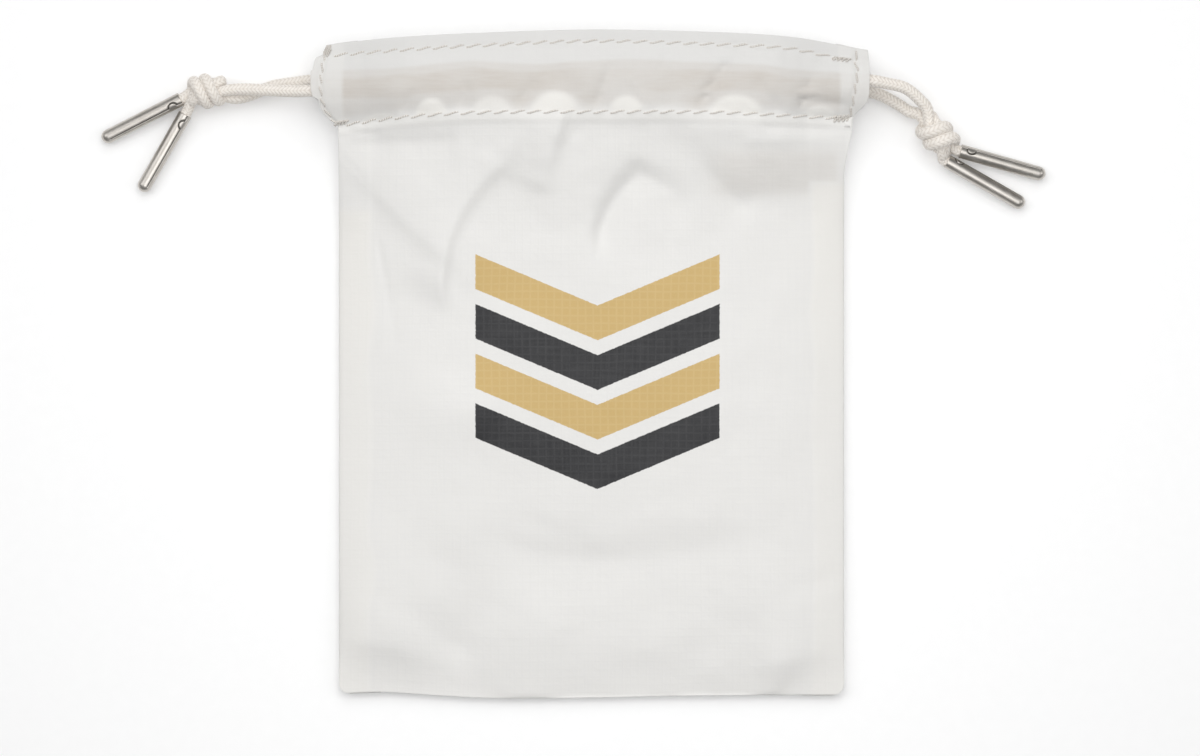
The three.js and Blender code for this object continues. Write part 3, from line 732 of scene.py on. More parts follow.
def floor_material():
    """A white sheet with a barely uneven surface."""
    material, n, shader = new_material("white floor")
    place = n.add("ShaderNodeTexCoord").outputs["Object"]
    grain = n.noise(place, 300.0, 2.0)
    n.feed(shader.inputs["Base Color"], n.mix(grain, FLOOR_DARK, FLOOR_PALE))
    shader.inputs["Roughness"].default_value = 0.9
    shader.inputs["Specular IOR Level"].default_value = 0.1
    return material


# The heights of the cloth


def mouth_lines(x):
    """The y of the lower stitches, the upper stitches and the top edge at x."""
    return tuple(eased(MOUTH["x"], MOUTH[key], x) for key in ("lower", "upper", "top"))


def casing_line(x, level):
    """The y of a line along the casing, at a level as casing_level() counts it."""
    lower, upper, top = mouth_lines(x)
    return lerp(lower, upper, level) if level < 1 else lerp(upper, top, level - 1)


def seam_height(y):
    """Height of the seams, which rise along the sides towards the casing."""
    low = lerp(SEAM_Z, SEAM_TOP_Z, smoothstep(y, SEAM_LIFT_FROM, SEAM_LIFT_TO))
    return low + SEAM_PULL * smoothstep(y, SEAM_PULL_FROM, SEAM_PULL_TO)


def body_half(y):
    """Half the body's width, narrowed by the round corners at the bottom."""
    up = np.clip(CORNER - (y - BOTTOM), 0.0, CORNER)
    return BODY_HALF - CORNER + np.sqrt(CORNER**2 - up**2)


def climb(distance, shoulder):
    """From 0 at a seam to 1 far in: a steep edge and a slow swell, each a fading exponential."""
    steep = EDGE_SHARE * np.exp(-distance / EDGE_ROUND)
    return 1 - steep - (1 - EDGE_SHARE) * np.exp(-distance / shoulder)


def rise(x, y):
    """How far the front has climbed from the side seams and the bottom seam."""
    side = np.maximum(0.0, BODY_HALF - np.abs(x))
    bottom = np.maximum(0.0, y - BOTTOM)
    corner = np.where(x < 0, smoothstep(-x, 18.0, 56.0), smoothstep(x, 44.0, 62.0))
    return climb(side, SHOULDER) * climb(bottom, lerp(BOTTOM_SHOULDER, CORNER_SHOULDER, corner))


def mouth_gap(x):
    """How far the mouth stands open."""
    return lerp(MOUTH_GAP, MOUTH_GAP_END, smoothstep(np.abs(x), MOUTH_FLAT, BODY_HALF))


def tunnel_height(x):
    """Middle height of the front casing's tunnel."""
    return 3 * CASING_HALF_HEIGHT + mouth_gap(x)


def fold_height(x, y, rows):
    """Sum of the folds: across each bowed line a bell of its height, which grows over the first four
    half widths and fades past the end."""
    total = np.zeros(np.broadcast(x, y).shape)
    for from_x, from_y, to_x, to_y, bow, height, half_from, half_to, left, tail in rows:
        length = math.hypot(to_x - from_x, to_y - from_y)
        ahead = ((to_x - from_x) / length, (to_y - from_y) / length)
        reach = ((x - from_x) * ahead[0] + (y - from_y) * ahead[1]) / length
        t = np.clip(reach, 0, 1)
        slope = 4 * bow * (1 - 2 * t) / length
        across = (y - from_y) * ahead[0] - (x - from_x) * ahead[1] - 4 * bow * t * (1 - t)
        half = lerp(half_from, half_to, t)
        out = np.abs(across) / np.sqrt(1 + slope**2) / (half * np.where(across < 0, tail, 1.0))
        past = np.abs(reach - t) * length / half
        begin = smoothstep(reach * length / (half_from * min(tail, 1.0)), -1.0, 4.0)
        fade = begin * np.exp(-(past**2)) * lerp(1.0, left, t)
        total = total + height * np.exp(-(out**1.6)) * fade
    return total


def soft_creases(x, y):
    """Low random swells, finer towards the casing where the cloth is gathered."""
    broad = 0.36 * crumple(x, y, 17.0, 3) + 0.2 * crumple(x + y, y - x, 11.0, 5)
    near_top = smoothstep(y, 10.0, 60.0)
    fine = 0.2 * crumple(x, 0.45 * y, 5.0, 7) + 0.1 * crumple(x, y, 3.2, 9)
    return broad + fine * lerp(0.3, 1.0, near_top)


def puffs(x, level, span):
    """Round-topped puffs above the lower stitches, as a number from 0 to 1."""
    total = np.zeros(np.broadcast(x, level).shape)
    for middle, half, reach, strength in PUFF_ROWS:
        out = ((x - middle) / half) ** 2 + (level * span / reach) ** 2
        total = np.maximum(total, strength * (1 - smoothstep(out, 0.4, 1.15)))
    return total


def gathers(x):
    """Uneven small waves along a stitched edge."""
    short = np.sin(1.05 * x + 1.7 * np.sin(0.21 * x))
    long = np.sin(0.63 * x + 2.1 * np.sin(0.13 * x + 1.0))
    return 0.6 * short + 0.4 * long


def header_ripple(x):
    """Long low waves of the header."""
    return sum(height * np.sin(2 * np.pi * x / length + phase) for length, height, phase in RIPPLE_ROWS)


def strip_edge(x, y):
    """Inner edge of the cloth that is turned under at the panel's sides."""
    return BODY_HALF - ALLOWANCE + 1.2 * crumple(x, y, 13.0, 31)


def front_panel_height(x, y):
    """The front climbs from the seams to its fill, with folds, creases and the step of the cloth that
    is turned under at the sides."""
    lower, _, _ = mouth_lines(x)
    arch = (mouth_gap(x) + SEAM_TOP_Z) / (MOUTH_GAP + SEAM_TOP_Z)
    share = lerp(1.0, arch, smoothstep(y, SEAM_LIFT_FROM, lower))
    full = eased(FILL["y"], FILL["height"], y) * share + soft_creases(x, y)
    full = full + fold_height(x, y, PANEL_FOLD_ROWS)
    full = full + 0.1 * gathers(x) * np.exp(-np.maximum(lower - y, 0.0) / 4.0)
    inner_edge = strip_edge(x, y)
    step = SIDE_STEP * smoothstep(np.abs(x), inner_edge - 0.8, inner_edge + 0.8)
    hem = HEM_STEP * smoothstep(y, lower - HEM - 0.35, lower - HEM + 0.1)
    edge = seam_height(y) + EDGE_STEP
    return lerp(edge, full, rise(x, y)) + step + hem


def back_panel_height(x, y):
    """The back lies flat and curls up to the seams."""
    edge = np.maximum(np.minimum(BODY_HALF - np.abs(x), y - BOTTOM), 0.0)
    curl = np.maximum(0.0, 1 - edge / BACK_CURL) ** 2
    return 0.02 + (seam_height(y) - EDGE_STEP) * curl


def casing_level(x, y):
    """0 at the lower stitches, 1 at the upper stitches, 2 at the top edge."""
    lower, upper, top = mouth_lines(x)
    level = (y - lower) / (upper - lower)
    return np.where(level < 1, level, 1 + (y - upper) / (top - upper))


def stitch_dip(x, y):
    """Grooves that the stitches pull into the cloth."""
    lower, upper, _ = mouth_lines(x)
    dip = 0.16 * np.exp(-(((y - lower) / 0.8) ** 2)) + 0.14 * np.exp(-(((y - upper) / 0.8) ** 2))
    dip = dip * (0.75 + 0.25 * np.cos(2 * np.pi * x / STITCH))
    for row in END_STITCH_ROWS:
        line = np.array(row)[::-1]
        off = x - np.interp(y, line[:, 1], line[:, 0])
        within = smoothstep(y, line[0, 1] - 1.0, line[0, 1]) * smoothstep(y, line[-1, 1] + 1.0, line[-1, 1])
        dip = dip + 0.4 * np.exp(-((off / 0.6) ** 2)) * within
    return dip


def casing_height(x, y, panel, middle, rest):
    """The outer wall of a casing: from the panel's height at the stitches up to the bulge over the
    cord and down to the flat header. middle is the tunnel's height, rest 1 on the front, 0 on the back."""
    lower, _, _ = mouth_lines(x)
    level = casing_level(x, y)
    outer = eased(WALLS["level"], WALLS["outer"], np.clip(level, 0, 1))
    pull = np.clip(1 - level / lerp(0.5, 0.6, smoothstep(np.abs(x), 44.0, 60.0)), 0.0, 1.0) ** 2
    wall = lerp(middle + rest * outer, panel(x, lower), pull)
    past = np.clip(level - 1, 0.0, 1.0)
    return wall + past * (header_ripple(x) if rest else np.abs(header_ripple(x)))


def over_cords(x, y):
    """The lowest height at which the cloth clears the two strands of cord in the front tunnel."""
    near = np.minimum(np.abs(y - STRAND_LOW), np.abs(y - STRAND_HIGH))
    clear = CORD / 2 + CLOTH + 0.12
    return np.where(near < clear, tunnel_height(x) + np.sqrt(np.maximum(clear**2 - near**2, 0.0)), 0.0)


def front_height(x, y):
    """Outer height of the front sheet: the panel, and above the lower stitches the casing with its
    puffs, gathers and folds, which clears the cords in its tunnel."""
    lower, upper, _ = mouth_lines(x)
    level = casing_level(x, y)
    wall = casing_height(x, y, front_panel_height, tunnel_height(x), 1.0)
    span = upper - lower
    inside = np.clip(level, 0.0, 1.0)
    low_part = np.maximum(0.0, 1 - inside / 0.4) * smoothstep(inside, 0.0, 0.22)
    swell = 0.5 * puffs(x, level, span) * low_part
    swell = swell + 0.15 * gathers(x) * np.exp(-inside * span / 2.5)
    swell = swell + 0.15 * gathers(1.13 * x + 4.0) * np.exp(-(1 - inside) * span / 2.5)
    swell = swell + 0.3 * crumple(x, y, 9.0, 11) + 0.15 * crumple(x, y, 4.5, 13)
    swell = swell + fold_height(x, y, CASING_FOLD_ROWS)
    window = smoothstep(inside, 0.0, 0.08) * smoothstep(inside, 1.0, 0.92)
    wall = np.maximum(wall + swell * window, over_cords(x, y))
    return np.where(level < 0, front_panel_height(x, y), wall) - stitch_dip(x, y)


def back_height(x, y):
    """Outer height of the back sheet, which lies on the floor."""
    level = casing_level(x, y)
    flat = np.zeros(np.broadcast(x, y).shape) + 0.02
    wall = casing_height(x, y, back_panel_height, flat, 0.0)
    return np.where(level < 0, back_panel_height(x, y), wall)


# The two sheets

PANEL_ROWS_COUNT = 128
CASING_ROWS_COUNT = 42
HEADER_ROWS_COUNT = 8
INNER_HEADER_ROWS_COUNT = 7
INNER_CASING_ROWS_COUNT = 22
ACROSS_COUNT = 184
EDGE_ROW = 0.0012  # share of the half width at which a row beside each edge keeps the edge crisp
STITCH = 4.1


def across_columns():
    """Columns from the inner edge of the left turned-under strip, over the sheet, to that of the right:
    share runs from -1 to 1 over the sheet, and under is the way back from the folded edge."""
    under = ALLOWANCE * np.array([1.0, 0.8, 0.6, 0.4, 0.22, 0.1, 0.05, 0.022, 0.008])
    even = np.linspace(-1, 1, ACROSS_COUNT)
    share = lerp(even, np.sin(even * np.pi / 2), 0.45)
    share = np.insert(share, [1, len(share) - 1], [EDGE_ROW - 1, 1 - EDGE_ROW])
    return (
        np.concatenate([np.full(len(under), -1.0), share, np.full(len(under), 1.0)]),
        np.concatenate([under, np.zeros(len(share)), under[::-1]]),
    )


def turned(under):
    """Depth of a strip that is folded back under, which drops over the first half millimetre."""
    return FOLD * (1 - np.exp(-under / 0.16))


def sheet_rows(share, under):
    """The rows of a sheet, from the strip turned in at the bottom, up the panel, over the casing and
    header, and back down inside to the hem. Gives x, y and how deep the layer lies."""
    sign = np.sign(share)
    blocks = []

    def add(y_at, half, depth, inner=False):
        """y_at gives y from x; half is the half width, which the turned-under strip starts from."""
        x = share * half - sign * under
        y = y_at(x)
        crowd = 0.9 * smoothstep(np.abs(x), 58.0, 62.0) if inner else 0.0
        strip = -turned(under) if inner else turned(under)
        blocks.append(np.broadcast_arrays(x, y, depth + crowd + strip))

    def half_at(level):
        left = eased(ENDS["level"], ENDS["left"], level)
        right = eased(ENDS["level"], ENDS["right"], level)
        return np.where(share < 0, left, right)

    def add_casing(level, depth, inner=False):
        add(lambda x: casing_line(x, level), half_at(level), depth, inner)

    for strip in BOTTOM_ALLOWANCE * np.array([1.0, 0.6, 0.3, 0.12, 0.05, 0.015]):
        add(lambda x: BOTTOM + strip, BODY_HALF - CORNER, turned(strip))
    even = np.linspace(0, 1, PANEL_ROWS_COUNT, endpoint=False)
    for t in np.insert(lerp(even, (1 - np.cos(np.pi * even)) / 2, 0.45), 1, EDGE_ROW / 2):
        y_mid = lerp(BOTTOM, MOUTH["lower"].mean(), t)
        half = lerp(body_half(y_mid), half_at(0.0), smoothstep(t, 0.9, 1.0))
        add(lambda x: lerp(BOTTOM, mouth_lines(x)[0], t), half, 0.0)
    for level in np.linspace(0, 1, CASING_ROWS_COUNT):
        add_casing(level, 0.0)
    for level in np.linspace(1, 2, HEADER_ROWS_COUNT)[1:]:
        add_casing(level, 0.0)
    for angle in np.radians([30, 60, 90, 120, 150]):
        round_off = FOLD / 2 * math.sin(angle)
        depth = FOLD / 2 * (1 - math.cos(angle))
        add(lambda x: mouth_lines(x)[2] + round_off, half_at(2.0), depth, angle > 1.6)
    for level in np.linspace(2, 1, INNER_HEADER_ROWS_COUNT):
        add_casing(level, FOLD, True)
    for level in np.linspace(1, 0, INNER_CASING_ROWS_COUNT)[1:]:
        thick = eased(WALLS["level"], WALLS["outer"] - WALLS["inner"], level)
        add_casing(level, max(FOLD, thick), True)
    for down in HEM * np.array([0.3, 0.65, 1.0]):
        add(lambda x: mouth_lines(x)[0] - down, half_at(0.0) - 0.4, 0.6, True)
    return tuple(np.stack(part) for part in zip(*blocks))


def double_mask(x, y, level, wander):
    """Where the cloth lies double: the turned-in sides and bottom, and the hem."""
    lower, _, _ = mouth_lines(x)
    panel = level < 0
    inner_edge = np.where(panel, strip_edge(x, y), CASING_HALF + 0.5 - ALLOWANCE)
    soft = np.where(panel, np.where(x < 0, 1.6, 0.8), 0.3)
    side = smoothstep(np.abs(x), inner_edge - soft, inner_edge + soft)
    strip_top = np.where(x < 0, 38.0, 45.0) + wander
    side = side * (1 - smoothstep(y, strip_top - 1.5, strip_top + 1.5) * panel)
    side = side * np.where(panel, lerp(0.45, 0.85, smoothstep(y, -20.0, 35.0)), 0.18)
    turned_in = BOTTOM + BOTTOM_ALLOWANCE
    bottom = 1 - smoothstep(y + wander, turned_in - 0.4, turned_in + 0.3)
    hem = smoothstep(y, lower - HEM - 0.3, lower - HEM) * (1 - smoothstep(y, lower, lower + 0.5))
    return side + 0.1 * bottom + 0.2 * hem


def cord_and_shade_mask(x, y, level, wander):
    """How much of the cords' brown and of painted shade shows: a band over the cords, and a veil from the
    lower stitches up, which is deeper in the hollows between the puffs."""
    low, high, strength = (eased(SHADE["x"], SHADE[key], x) for key in ("low", "high", "strength"))
    band = smoothstep(y + wander, low - 1.6, low + 1.4)
    band = band * (1 - smoothstep(y + wander, high - 1.6, high + 0.6))
    veil = 0.5 * smoothstep(level, 0.0, 0.2)
    veil = veil * (1 - smoothstep(y + 0.4 * wander, high + 0.4, high + 1.4))
    # Deeper painted shade in the hollows between the puffs.
    deep = sum(np.exp(-(((x - middle) / 3.0) ** 2)) for middle in SHADED_HOLLOWS)
    veil = veil + 0.35 * deep * smoothstep(level, 0.0, 0.05) * (1 - smoothstep(level, 0.15, 0.4))
    fade = 1 - 0.75 * smoothstep(np.abs(x), 61.6, 62.4)
    blotch = 0.85 + 0.2 * crumple(x, 2.0 * y, 8.0, 23)
    return np.maximum(band * strength, veil) * fade * blotch


def hollow_shade_mask(x, y, level, wander):
    """Painted shade in the hollow at the upper right of the panel, where nothing white backs the cloth."""
    inner = smoothstep(x, 25.0, 36.0) * smoothstep(y + wander, 40.0, 45.0) * (level < 0)
    outer = np.where(y < 46.0, 1 - smoothstep(x, 53.5, 55.0), 1 - smoothstep(x, 60.0, 63.0))
    return 0.3 * inner * outer * (1 - smoothstep(y, 51.0, 55.0))


def cloth_masks(x, y):
    """Where the cloth lies double, where the cords' brown and painted shade show through it, and where it
    stands off the layers under it, greyed with painted shade."""
    lower, upper, _ = mouth_lines(x)
    level = casing_level(x, y)
    wander = 0.6 * crumple(x, y, 6.0, 21)
    puff = puffs(x, level, upper - lower) * (level > 0)
    # Painted shade with the cords' brown over the cords and in the hollows, cleared on the puffs.
    cord_and_shade = cord_and_shade_mask(x, y, level, wander) * (1 - puff) + hollow_shade_mask(x, y, level, wander)
    # Painted shade over the casing and header, less on the puffs.
    lifted_shade = smoothstep(level, 0.0, 0.12) * lerp(0.6, 0.75, smoothstep(level, 0.98, 1.1))
    return {
        "double": np.clip(double_mask(x, y, level, wander) + puff, 0, 1),
        "cord_and_shade": np.clip(cord_and_shade, 0, 1),
        "lifted_shade": lifted_shade * (1 - 0.6 * puff),
    }


def bottom_wander(x, y):
    """The bottom edge's wander, which fades out up the panel."""
    off = eased(BOTTOM_EDGE["x"], BOTTOM_EDGE["off"], x)
    return off * (1 - smoothstep(y, BOTTOM, BOTTOM + BOTTOM_EDGE_FADE))


def cloth_sheet(name, height, outward, material, replaced):
    """A sheet of cloth on its grid. height gives the outer layer, outward is 1 where that faces up."""
    share, under = across_columns()
    x, y, depth = sheet_rows(share, under)
    z = height(x, y) - outward * depth
    rows, columns = x.shape
    faces = grid_faces(rows, columns)
    if outward < 0:
        faces = faces[:, ::-1]
    _, _, top = mouth_lines(x)
    inner = (np.arange(rows) > np.argmax(y[:, columns // 2]))[:, None]
    flat_y = np.where(inner, 2 * top - y, y)
    uv = np.stack([x, flat_y], -1) * MM
    masks = cloth_masks(x, y)
    masks["cord_and_shade"] = np.where(inner, 0.0, masks["cord_and_shade"])
    points = np.stack([x, y + bottom_wander(x, y), z], -1)
    piece = add_piece(name, points, faces, material, uv, masks)
    thick = piece.modifiers.new("thickness", "SOLIDIFY")
    thick.thickness = CLOTH * MM
    thick.offset = -1.0
    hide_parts(*replaced)
    return piece


# Stitches

THREAD = 0.22  # radius of the sewing thread
STITCH_SHARE = 1.08  # the part of the pitch that a stitch shows
STITCH_SLANT = 0.13
STITCH_BEND = 0.14  # how far a stitch bows to the side
END_STITCH = 2.8  # pitch of the rows across the casing's ends
STITCH_LIFT = 0.06  # how far the middle of a stitch stands off the cloth
END_STITCH_LIFT = 0.22
BARTACK_LIFT = 0.3
STITCH_SINK = 0.25  # how far the ends of a stitch dive into it
BARTACK_SINK = 0.2


def stitch_points(start, end, height, sink, lift):
    """Thread lying from start to end points: a tube whose middle stands on the cloth and whose ends
    dive into it, no lower than the floor. start and end are arrays, one row for each stitch."""
    steps = np.linspace(-1, 1, 9)
    turns = np.linspace(0, 2 * np.pi, 8, endpoint=False)
    ahead = (end - start) / np.linalg.norm(end - start, axis=1, keepdims=True)
    side = np.stack([-ahead[:, 1], ahead[:, 0]], -1)
    middle = (start + end) / 2
    line = middle[:, None] + (end - start)[:, None] / 2 * steps[None, :, None]
    line = line + STITCH_BEND * np.sin(np.pi * steps)[None, :, None] * side[:, None]
    z = height(line[..., 0], line[..., 1]) + lift * (1 - steps**2) - sink * steps**4
    radius = THREAD * (0.35 + 0.65 * np.sqrt(np.maximum(0.0, 1 - steps**6)))
    out = radius[None, :, None] * np.cos(turns)
    up = radius[None, :, None] * np.sin(turns)
    x = line[..., 0][..., None] + out * side[:, 0][:, None, None]
    y = line[..., 1][..., None] + out * side[:, 1][:, None, None]
    return np.stack(np.broadcast_arrays(x, y, np.maximum(z[..., None] + up, 0.0)), -1)


def along_line(points, pitch, share, slant):
    """Starts and ends of stitches at an even pitch along a line of points, each turned by slant."""
    reach = reach_along(points)
    count = int(reach[-1] // pitch)
    middle = (np.arange(count) + 0.5) * reach[-1] / count
    half = pitch * share / 2

    def at(s):
        return np.stack([np.interp(s, reach, points[:, 0]), np.interp(s, reach, points[:, 1])], -1)

    start = at(middle - half)
    end = at(middle + half)
    ahead = end - start
    turn = slant * np.stack([-ahead[:, 1], ahead[:, 0]], -1) / 2
    return start - turn, end + turn


def stitch_lines():
    """The lines that the casings are sewn along, with their pitch and lift: both long rows and the
    rows across their ends."""
    x = np.linspace(-64.6, 63.6, 90)
    lower, upper, _ = mouth_lines(x)
    long_low = np.stack([x, lower], -1)[2:-1]
    long_high = np.stack([x, upper], -1)
    long_rows = [(line, STITCH, STITCH_LIFT) for line in (long_low, long_high)]
    return long_rows + [(np.array(row), END_STITCH, END_STITCH_LIFT) for row in END_STITCH_ROWS]


# Where the rows are locked at their ends: x, y, turn in degrees, length and number of rows.
BARTACK_ROWS = [
    (-65.8, 77.9, 60, 2.2, 3),
    (-62.6, 60.2, 8, 3.4, 2),
    (62.2, 75.9, -6, 4.4, 2),
    (62.4, 61.2, 4, 4.2, 3),
]


def bartack_stitches():
    """Short stitches sewn to and fro over each other at the ends of the rows."""
    starts, ends = [], []
    for x, y, turn, length, rows in BARTACK_ROWS:
        ahead = np.array([math.cos(math.radians(turn)), math.sin(math.radians(turn))])
        side = np.array([-ahead[1], ahead[0]])
        for row in range(rows):
            off = (row - (rows - 1) / 2) * 0.42
            places = np.linspace(-0.5, 0.5, 4) * length * 0.75 + (row % 2) * 0.3
            middle = np.array([x, y]) + places[:, None] * ahead + off * side
            step = 0.62 * ahead + 0.22 * (-1) ** row * side
            starts.append(middle - step)
            ends.append(middle + step)
    return np.concatenate(starts), np.concatenate(ends)


def sewn_rows(name, height, flip, material):
    """All the stitches that show on one side of a casing, as one piece."""
    parts = []
    for line, pitch, lift in stitch_lines():
        start, end = along_line(line, pitch, STITCH_SHARE, STITCH_SLANT * flip)
        parts.append(stitch_points(start, end, height, STITCH_SINK * flip, lift * flip))
    start, end = bartack_stitches()
    parts.append(stitch_points(start, end, height, BARTACK_SINK * flip, BARTACK_LIFT * flip))
    points = np.concatenate(parts)
    count, steps, turns = points.shape[:3]
    one = grid_faces(steps, turns, ring=True)[:, ::-1]
    caps = np.array([[0, 1, 2, 3], [0, 3, 4, 7], [7, 4, 5, 6]])
    last = (steps - 1) * turns
    one = np.concatenate([one, caps, (caps + last)[:, ::-1]])
    faces = (one[None] + (np.arange(count) * steps * turns)[:, None, None]).reshape(-1, 4)
    u = np.broadcast_to(np.arange(turns) / turns, (count, steps, turns))
    v = np.broadcast_to(np.linspace(0, 1, steps)[:, None], (count, steps, turns))
    return add_piece(name, points, faces, material, np.stack([u, v], -1))


# Cords

STRAND_STEP = 0.2  # between the rings of the strands that show
HELD_STEP = 0.8  # and of the cord inside the casings
STRAND_INSIDE = 14.0  # how far a free strand reaches back into the casing
STRAND_END = 1.3  # its radius where the knot squeezes it
CORD_SIDES = 48
KNOT_JOIN = 2  # the row of the knot, under its wrap, where strand and knot meet
KNOT_WIDE = (1.08, 1.62)  # least and most half width of a strand in the knot, along the spread
KNOT_THICK = 1.32  # and its half width across the spread
TAIL_HALF = 1.4  # half width of the tails between knot and tips
TAIL_IN_TIP = 5.0
BORE_ROOM = 0.12  # between a tail and the bore


def smooth_route(points, step):
    """One smooth curve through the points, each pair joined by a cubic whose slopes follow the
    neighbours, then cut into even steps. Extra columns are carried along."""
    points = np.asarray(points, dtype=float)
    gaps = np.sqrt(np.linalg.norm(np.diff(points[:, :3], axis=0), axis=1))
    keys = np.concatenate([[0.0], np.cumsum(gaps)])
    fine = np.linspace(0, keys[-1], 60 * len(points))
    curve = np.stack([eased(keys, column, fine) for column in points.T], -1)
    reach = reach_along(curve[:, :3])
    count = max(2, int(round(reach[-1] / step)))
    even = np.linspace(0, reach[-1], count + 1)
    return np.stack([np.interp(even, reach, column) for column in curve.T], -1)


BRAID_COLUMNS = 8
BRAID_PITCH = 1.0
BRAID_LEAN = 1.0
BRAID_RELIEF = 0.13


def braid_relief(turn, reach):
    """Height of the braid from 0 to 1: short yarns side by side in columns along the cord. They lean
    one way in one column and the other way in the next, so that each pair of columns is a row of Vs."""
    column = np.floor(BRAID_COLUMNS * turn)
    across = BRAID_COLUMNS * turn - column
    lean = np.where(column % 2 < 0.5, BRAID_LEAN, -BRAID_LEAN)
    yarn = np.abs(np.sin(np.pi * (reach / BRAID_PITCH + lean * (across - 0.5)))) ** 0.7
    return yarn * (0.55 + 0.45 * np.sin(np.pi * across))


def cord_tube(route, spread, wide, thick):
    """A braided tube along a route: rings across it, each stretched to half widths wide along spread
    and thick across it, raised by the braid. Ends are closed by a ring drawn to a point."""
    ahead = np.gradient(route, axis=0)
    ahead /= np.linalg.norm(ahead, axis=1, keepdims=True)
    first = spread - (spread * ahead).sum(1, keepdims=True) * ahead
    first /= np.linalg.norm(first, axis=1, keepdims=True)
    second = np.cross(ahead, first)
    reach = reach_along(route)
    turn = np.linspace(0, 1, CORD_SIDES, endpoint=False)
    crown = braid_relief(turn[None], reach[:, None])
    grow = 1 + BRAID_RELIEF * (crown - 0.65)
    out = (np.cos(2 * np.pi * turn)[None] * wide[:, None] * grow)[..., None] * first[:, None]
    up = (np.sin(2 * np.pi * turn)[None] * thick[:, None] * grow)[..., None] * second[:, None]
    rings = route[:, None] + out + up
    ends = [(0.999 * route[i] + 0.001 * rings[i])[None] for i in (0, -1)]
    points = np.concatenate([ends[0], rings, ends[1]])
    crown = np.concatenate([crown[:1], crown, crown[-1:]])
    faces = grid_faces(len(points), CORD_SIDES, ring=True)
    return points.reshape(-1, 3), faces, crown.ravel()


def knot_rows():
    """The knot's table with the wrap worked out: a helix round it."""
    t = np.linspace(0, 1, WRAP_STEPS + 1)
    angle = np.pi * lerp(WRAP_FROM, WRAP_TO, t)
    zero = np.zeros_like(t)
    places = [lerp(WRAP_REACH, -WRAP_REACH, t), COLLAR * np.cos(angle), COLLAR * np.sin(angle)]
    wrap = np.stack(places + [zero + COLLAR_SPREAD, zero, zero], -1)
    return np.concatenate([KNOT_START, wrap, KNOT_END])


def knot_frame(knot):
    """The knot's middle, and its along, side and up directions as rows."""
    heading = math.radians(knot["heading"])
    ahead = np.array([math.cos(heading), math.sin(heading), 0.0])
    side = np.array([-ahead[1], ahead[0], 0.0])
    return np.array([knot["x"], knot["y"], KNOT_HEIGHT]), np.stack([ahead, side, [0.0, 0.0, 1.0]])


def knot_route(knot, strand):
    """One strand's places in the knot and the spread there, six columns."""
    rows = knot_rows()
    middle, axes = knot_frame(knot)
    places = rows[:, :3] * np.array([knot["long"], knot["hand"], 1.0])
    places[0, 1] += knot["entry_shift"]
    spread = rows[:, 3:] * np.array([knot["long"], knot["front_hand"], 1.0])
    place = middle + (places + strand * spread) @ axes
    return np.concatenate([place, spread @ axes], 1)


def tip_frame(tip):
    """The tip's mouth and the direction to its nose, which lies on the floor."""
    heading = math.radians(tip["heading"])
    drop = math.asin((TIP_MOUTH_Z - TIP_RADIUS - 0.05) / TIP_LENGTH)
    flat = math.cos(drop)
    ahead = np.array([math.cos(heading) * flat, math.sin(heading) * flat, -math.sin(drop)])
    return np.array([tip["x"], tip["y"], TIP_MOUTH_Z]), ahead


def held_points(side):
    """The cord inside the casings: along the front tunnel, round at the far end, back along the other."""
    sign = side["sign"]
    front_y, back_y = (STRAND_LOW, STRAND_HIGH) if sign < 0 else (STRAND_HIGH, STRAND_LOW)
    stations = np.array([70.1, 63.2, 58.0, 52.0, 45.0, 34.0, 12.0, -12.0, -34.0, -45.0, -52.0, -TURN_BACK])
    zero = np.zeros_like(stations)
    front = np.stack([sign * stations, zero + front_y, tunnel_height(stations)], -1)
    back = np.stack([sign * stations, zero + back_y, zero + CASING_HALF_HEIGHT], -1)
    front[0, 1] = side["exits"]["front"]
    back[0, 1] = side["exits"]["back"]
    middle = (front[-1] + back[-1]) / 2
    reach = front[-1] - middle
    angle = np.radians([45.0, 90.0, 135.0])[:, None]
    turn = middle + np.cos(angle) * reach
    turn = turn - np.sin(angle) * np.array([sign * np.linalg.norm(reach), 0.0, 0.0])
    return np.concatenate([front, turn, back[::-1]])


def drawcord(side, material):
    """One drawcord: the stretch held in the casings and the two free strands to the knot."""
    held = held_points(side)
    routes = [knot_route(side["knot"], strand)[:KNOT_JOIN, :3] for strand in (1, -1)]
    whole = np.concatenate([routes[0][::-1], side["front"][::-1], held, side["back"], routes[1]])
    route = smooth_route(whole, STRAND_STEP)
    out = np.abs(route[:, 0]) - (CASING_HALF - STRAND_INSIDE)
    inside = np.flatnonzero((out < 0) | (route[:, 0] * side["sign"] < 0))
    pieces = []
    up = np.array([0.0, 0.0, 1.0])
    cuts = {
        "front_strand": route[inside[0]::-1],
        "back_strand": route[inside[-1]:],
        "drawcord": smooth_route(route[inside[0]:inside[-1] + 1:6], HELD_STEP),
    }
    for key, path in cuts.items():
        radius = np.full(len(path), CORD / 2)
        if key != "drawcord":
            radius = lerp(CORD / 2, STRAND_END, smoothstep(np.arange(len(path)) / len(path), 0.84, 0.97))
        spread = np.broadcast_to(up, path.shape)
        points, faces, crown = cord_tube(path, spread, radius, radius)
        name = f"{side['name']}_{key}"
        piece = add_piece(name, points, faces, material, masks={"crown": crown})
        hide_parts(f"{side['name']}_drawcord")
        pieces.append((key, piece, path))
    return pieces


